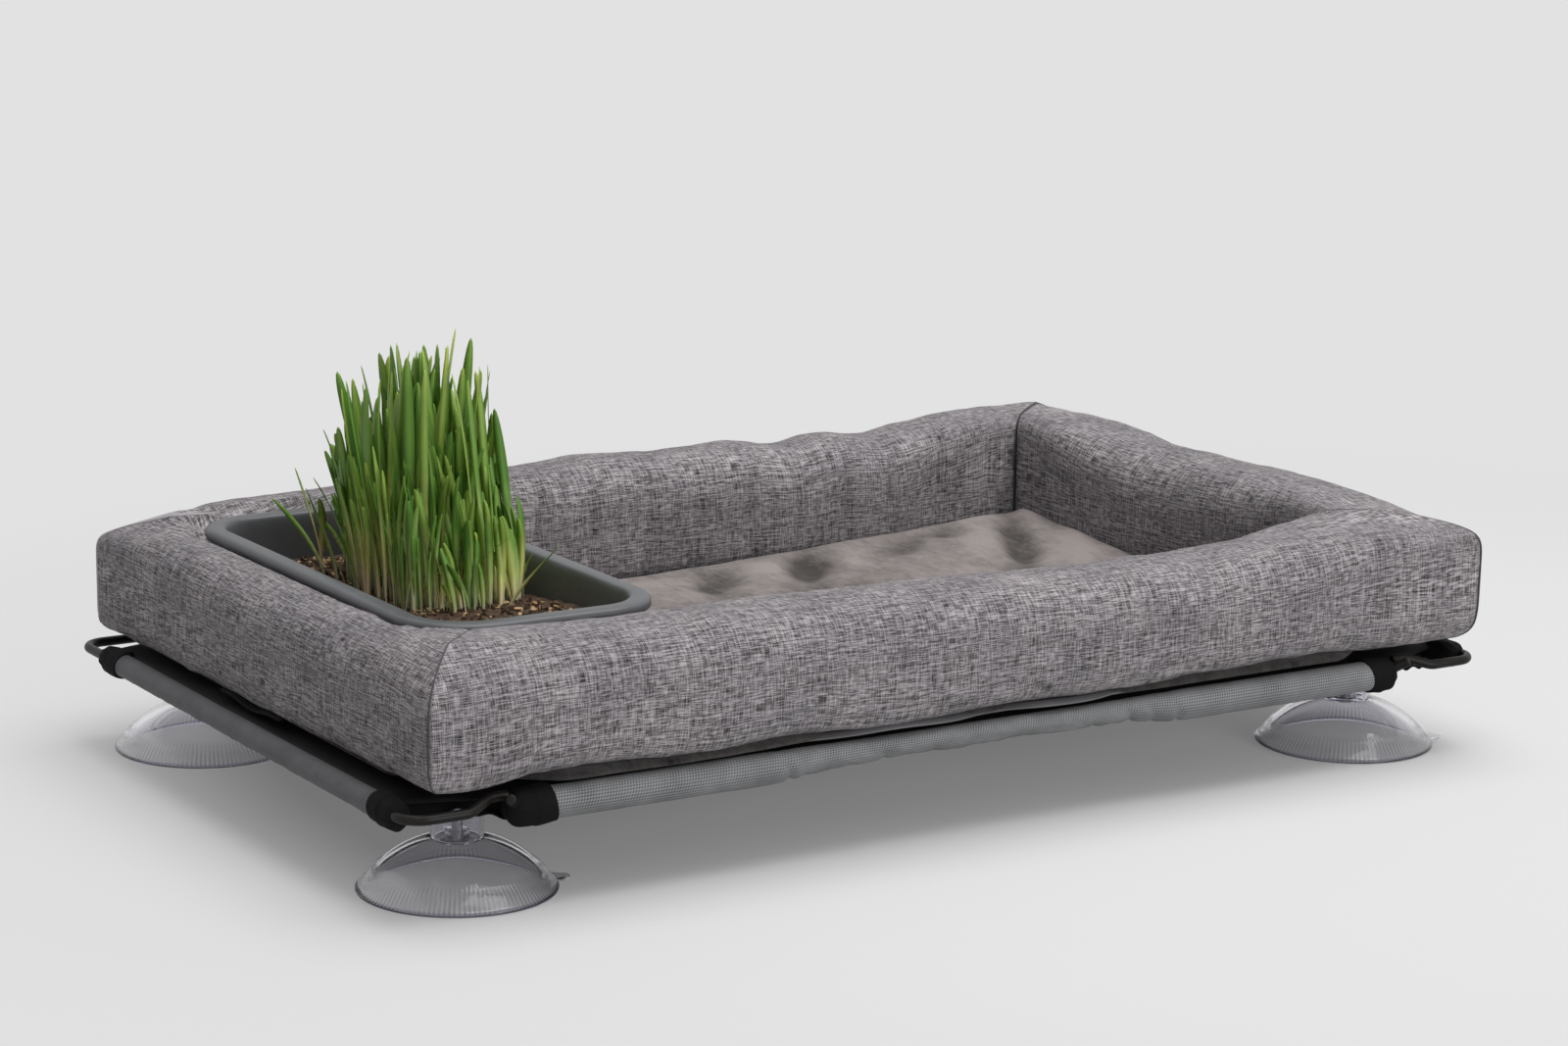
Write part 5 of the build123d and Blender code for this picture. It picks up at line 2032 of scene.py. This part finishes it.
    def blade_mesh(
        self, draw: np.random.Generator, base: Array, ground: float, tall: Array, lean: Array,
        width: Array, full: float,
    ) -> None:
        """Build every blade as a closed strip of four points a row, and dress the clump.

        A blade's line at share t of its height leans by its lean times t to the power 1.6.
        Its half width grows from a thin stem as a smooth step of t and closes to a round tip
        as the root of one less a power of t.

        Args:
            draw: The clump's random numbers.
            base: Foot of each blade in plan.
            ground: Level of the feet.
            tall: Height of each blade.
            lean: How far each tip lies from its foot in plan.
            width: Width of each blade.
            full: Height of the clump.
        """
        count, rows = len(base), self.blade_rows
        curl = draw.normal(0, 3.2 * MM, (count, 2)) * (0.4 + 0.6 * tall / full)[:, None]
        t = 1 - (1 - np.linspace(0, 1, rows)[None, :]) ** 1.6
        rise = ground + tall[:, None] * (t - 0.05 * t**3)
        bent = curl[:, None] * (np.sin(2.8 * t) * t)[..., None]
        flat = base[:, None] + lean[:, None] * (t**1.6)[..., None] + bent
        line = np.concatenate([flat, rise[..., None]], -1)
        facing = draw.uniform(0, TAU, count)[:, None] + draw.normal(0, 0.7, count)[:, None] * t
        full_at = draw.uniform(0.66, 0.80, count)[:, None]
        step = np.clip(t / full_at, 0, 1)
        grow = 0.30 + 0.70 * step**1.5 * (2.4 - 1.4 * step)
        beyond = share_of(t, full_at, 1)
        close = np.sqrt(1 - beyond**2.6) * (1 - 0.12 * beyond)
        half_width = width[:, None] / 2 * grow * close + 0.05 * MM
        across = spots(np.cos(facing), np.sin(facing), 0)
        back = np.cross(UP, across)
        fold = draw.uniform(0.12, 0.45, count)[:, None] * (1 - 0.5 * step) * half_width
        spine, under = (line + back * (fold + extra)[..., None] for extra in (0, 0.2 * MM))
        reach = across * half_width[..., None]
        points = np.stack([line - reach, spine, line + reach, under], 2)
        tone = draw.uniform(0, 1, count)
        height = 0.5 * (rise - ground) / full + 0.5 * t**1.2
        ends = np.array([[3, 2, 1, 0], 4 * rows - 4 + np.arange(4)])
        start = (np.arange(count) * rows * 4)[:, None, None]
        strips = (grid_quads(rows, 4, True) + start).reshape(-1, 4)
        quads = np.vstack([strips, (ends + start).reshape(-1, 4)])
        blade, level = quads // (rows * 4), quads % (rows * 4) // 4
        uv = np.stack([tone[blade], height[blade, level]], -1)
        piece = outward(as_mesh("grass_blades", points, quads, uv))
        dress(piece, self.palette.grass, "planter", "grass", "cat_grass")


def jittered(draw: np.random.Generator, count: int, low: Array, high: Array) -> Array:
    """Points spread evenly over a rectangle, each moved a little.

    Args:
        draw: Random numbers.
        count: Number of points.
        low: Lowest corner.
        high: Highest corner.

    Returns:
        The points.
    """
    size = high - low
    pitch = math.sqrt(size[0] * size[1] / count)
    columns = [(np.arange(n) + 0.5) / n for n in (max(1, round(s / pitch)) for s in size)]
    spots = np.stack(np.meshgrid(*columns, indexing="ij"), -1).reshape(-1, 2) * size + low
    spots += draw.uniform(-0.42, 0.42, spots.shape) * pitch
    extra = draw.uniform(0, 1, (max(0, count - len(spots)), 2)) * size + low
    return np.vstack([spots, extra])[:count]


def random_turns(draw: np.random.Generator, count: int, tilt: float) -> Array:
    """Turning matrices: a full turn about Z after a tilt about X.

    Args:
        draw: Random numbers.
        count: Number of matrices.
        tilt: Greatest tilt, in quarter turns.

    Returns:
        One matrix for each.
    """
    a, b = draw.uniform(0, TAU, count), draw.uniform(-1, 1, count) * tilt * TAU / 4
    (c, d), (s, t) = np.cos([a, b]), np.sin([a, b])
    rows = [(c, -s * d, s * t), (s, c * d, -c * t), (0 * a, t, d)]
    return np.moveaxis(np.array(rows), -1, 0)


# The studio


@dataclass
class Studio:
    """Pale floor, soft lights and the camera at the photograph's viewing angle."""

    backdrop: float = 0.76
    soft_level: float = 0.42
    soft_side: Triple = (0.58, -0.12, 0.34)
    shadow_lift: float = 0.20
    shadow_centre: Triple = (0.20, -0.04, 0.0)
    shadow_reach: float = 0.37
    floor_radii: Floats = (0.001, 1.0, 3.0, 60)
    floor_level: float = -0.4 * MM
    camera_place: Triple = (-1.0126, -1.5952, 0.5157)
    forward: Triple = (0.52414194, 0.82587596, -0.20785602)
    right: Triple = (0.84600419, -0.5329424, 0.0157896)
    focal: float = 3917.25
    image_width: float = 1600.0
    sensor: float = 36.0

    def build(self) -> None:
        """Set the view, the world, the floor, the lamps and the camera."""
        bpy.context.scene.view_settings.view_transform = "Standard"
        self.world()
        self.floor()
        self.lamp("key", (0.30, -0.10, 1.95), (0.0, 0.0, 0.05), 1.7, 33.0)
        self.lamp("fill", (0.6, -2.4, 0.50), (0.0, 0.0, 0.1), 1.1, 17.0)
        self.camera()

    def world(self) -> None:
        """Soft light, stronger from the front, right and above than from the left.

        The camera and clear surfaces see the backdrop's even grey instead.
        """
        bpy.context.scene.world = bpy.data.worlds.new("studio")
        n = Nodes(bpy.context.scene.world)
        direction = n.add("ShaderNodeTexCoord").outputs["Generated"]
        inputs = {0: direction, 1: self.soft_side}
        toward = n.add("ShaderNodeVectorMath", inputs, operation="DOT_PRODUCT").outputs["Value"]
        level = n.math("MULTIPLY_ADD", toward, self.soft_level, self.soft_level * 0.72)
        light = n.tree.nodes["Background"]
        n.put(light.inputs["Color"], (1, 1, 1))
        n.put(light.inputs["Strength"], level)
        seen = n.add("ShaderNodeBackground", {"Color": (self.backdrop,) * 3})
        rays = n.add("ShaderNodeLightPath").outputs
        clear = n.math("MAXIMUM", rays["Is Glossy Ray"], rays["Is Transmission Ray"])
        either = n.math("MAXIMUM", rays["Is Camera Ray"], clear)
        n.surface("World Output", either, light.outputs[0], seen.outputs[0])

    def floor(self) -> None:
        """Round pale floor that fades into the backdrop away from the object."""
        columns = 96
        ring = ring_angles(columns)
        radius = np.array(self.floor_radii)[:, None]
        points = spots(radius * np.cos(ring), radius * np.sin(ring), self.floor_level)
        quads = grid_quads(len(radius), columns, True)
        piece = as_mesh("studio_floor", points, quads)
        n = Nodes(bpy.data.materials.new("floor_paper"))
        inputs = {0: n.add("ShaderNodeTexCoord").outputs["Object"], 1: self.shadow_centre}
        away = n.add("ShaderNodeVectorMath", inputs, operation="DISTANCE").outputs["Value"]
        far = n.beyond(away, self.shadow_reach, 2.3)
        far = n.math("MAXIMUM", far, self.shadow_lift)
        seen = n.add("ShaderNodeLightPath").outputs["Is Camera Ray"]
        tone = n.mix(seen, (0.42, 0.42, 0.42), (0.71, 0.71, 0.71))
        paper = n.finish(Base_Color=tone, Roughness=0.9, Specular_IOR_Level=0.0)
        glow = n.add("ShaderNodeEmission", {"Color": (self.backdrop,) * 3, "Strength": 1.0})
        shader = n.tree.nodes["Principled BSDF"].outputs[0]
        n.surface("Material Output", far, shader, glow.outputs[0])
        piece.data.materials.append(paper)

    def lamp(self, name: str, place: Triple, target: Triple, size: float, power: float) -> None:
        """One square area lamp that faces its target.

        Args:
            name: The lamp's name.
            place: Where it hangs.
            target: Where it points.
            size: Length of its sides.
            power: Its power in watts.
        """
        data = bpy.data.lights.new(name, "AREA")
        data.shape = "SQUARE"
        data.size = size
        data.energy = power
        lamp = bpy.data.objects.new(name, data)
        away = Vector(place) - Vector(target)
        lamp.rotation_euler = away.to_track_quat("Z", "Y").to_euler()
        lamp.location = place
        bpy.context.scene.collection.objects.link(lamp)

    def camera(self) -> None:
        """Camera whose axes are the right, up and backward directions."""
        data = bpy.data.cameras.new("camera")
        data.sensor_width = self.sensor
        data.sensor_fit = "HORIZONTAL"
        data.lens = self.focal / self.image_width * self.sensor
        data.clip_end = 200
        camera = bpy.data.objects.new("camera", data)
        forward, right = np.array(self.forward), np.array(self.right)
        matrix = np.eye(4)
        matrix[:3] = np.stack([right, np.cross(right, forward), -forward, self.camera_place], 1)
        camera.matrix_world = Matrix(matrix.tolist())
        bpy.context.scene.collection.objects.link(camera)
        bpy.context.scene.camera = camera


def main() -> None:
    """Build the object and the studio."""
    logging.basicConfig(level=logging.INFO, format="%(message)s")
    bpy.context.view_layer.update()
    palette = Palette()
    for assembly in (WireFrame, Sling, SuctionCups, Bed, Planter):
        assembly(palette).build()
    Studio().build()


if __name__ == "__main__":
    main()
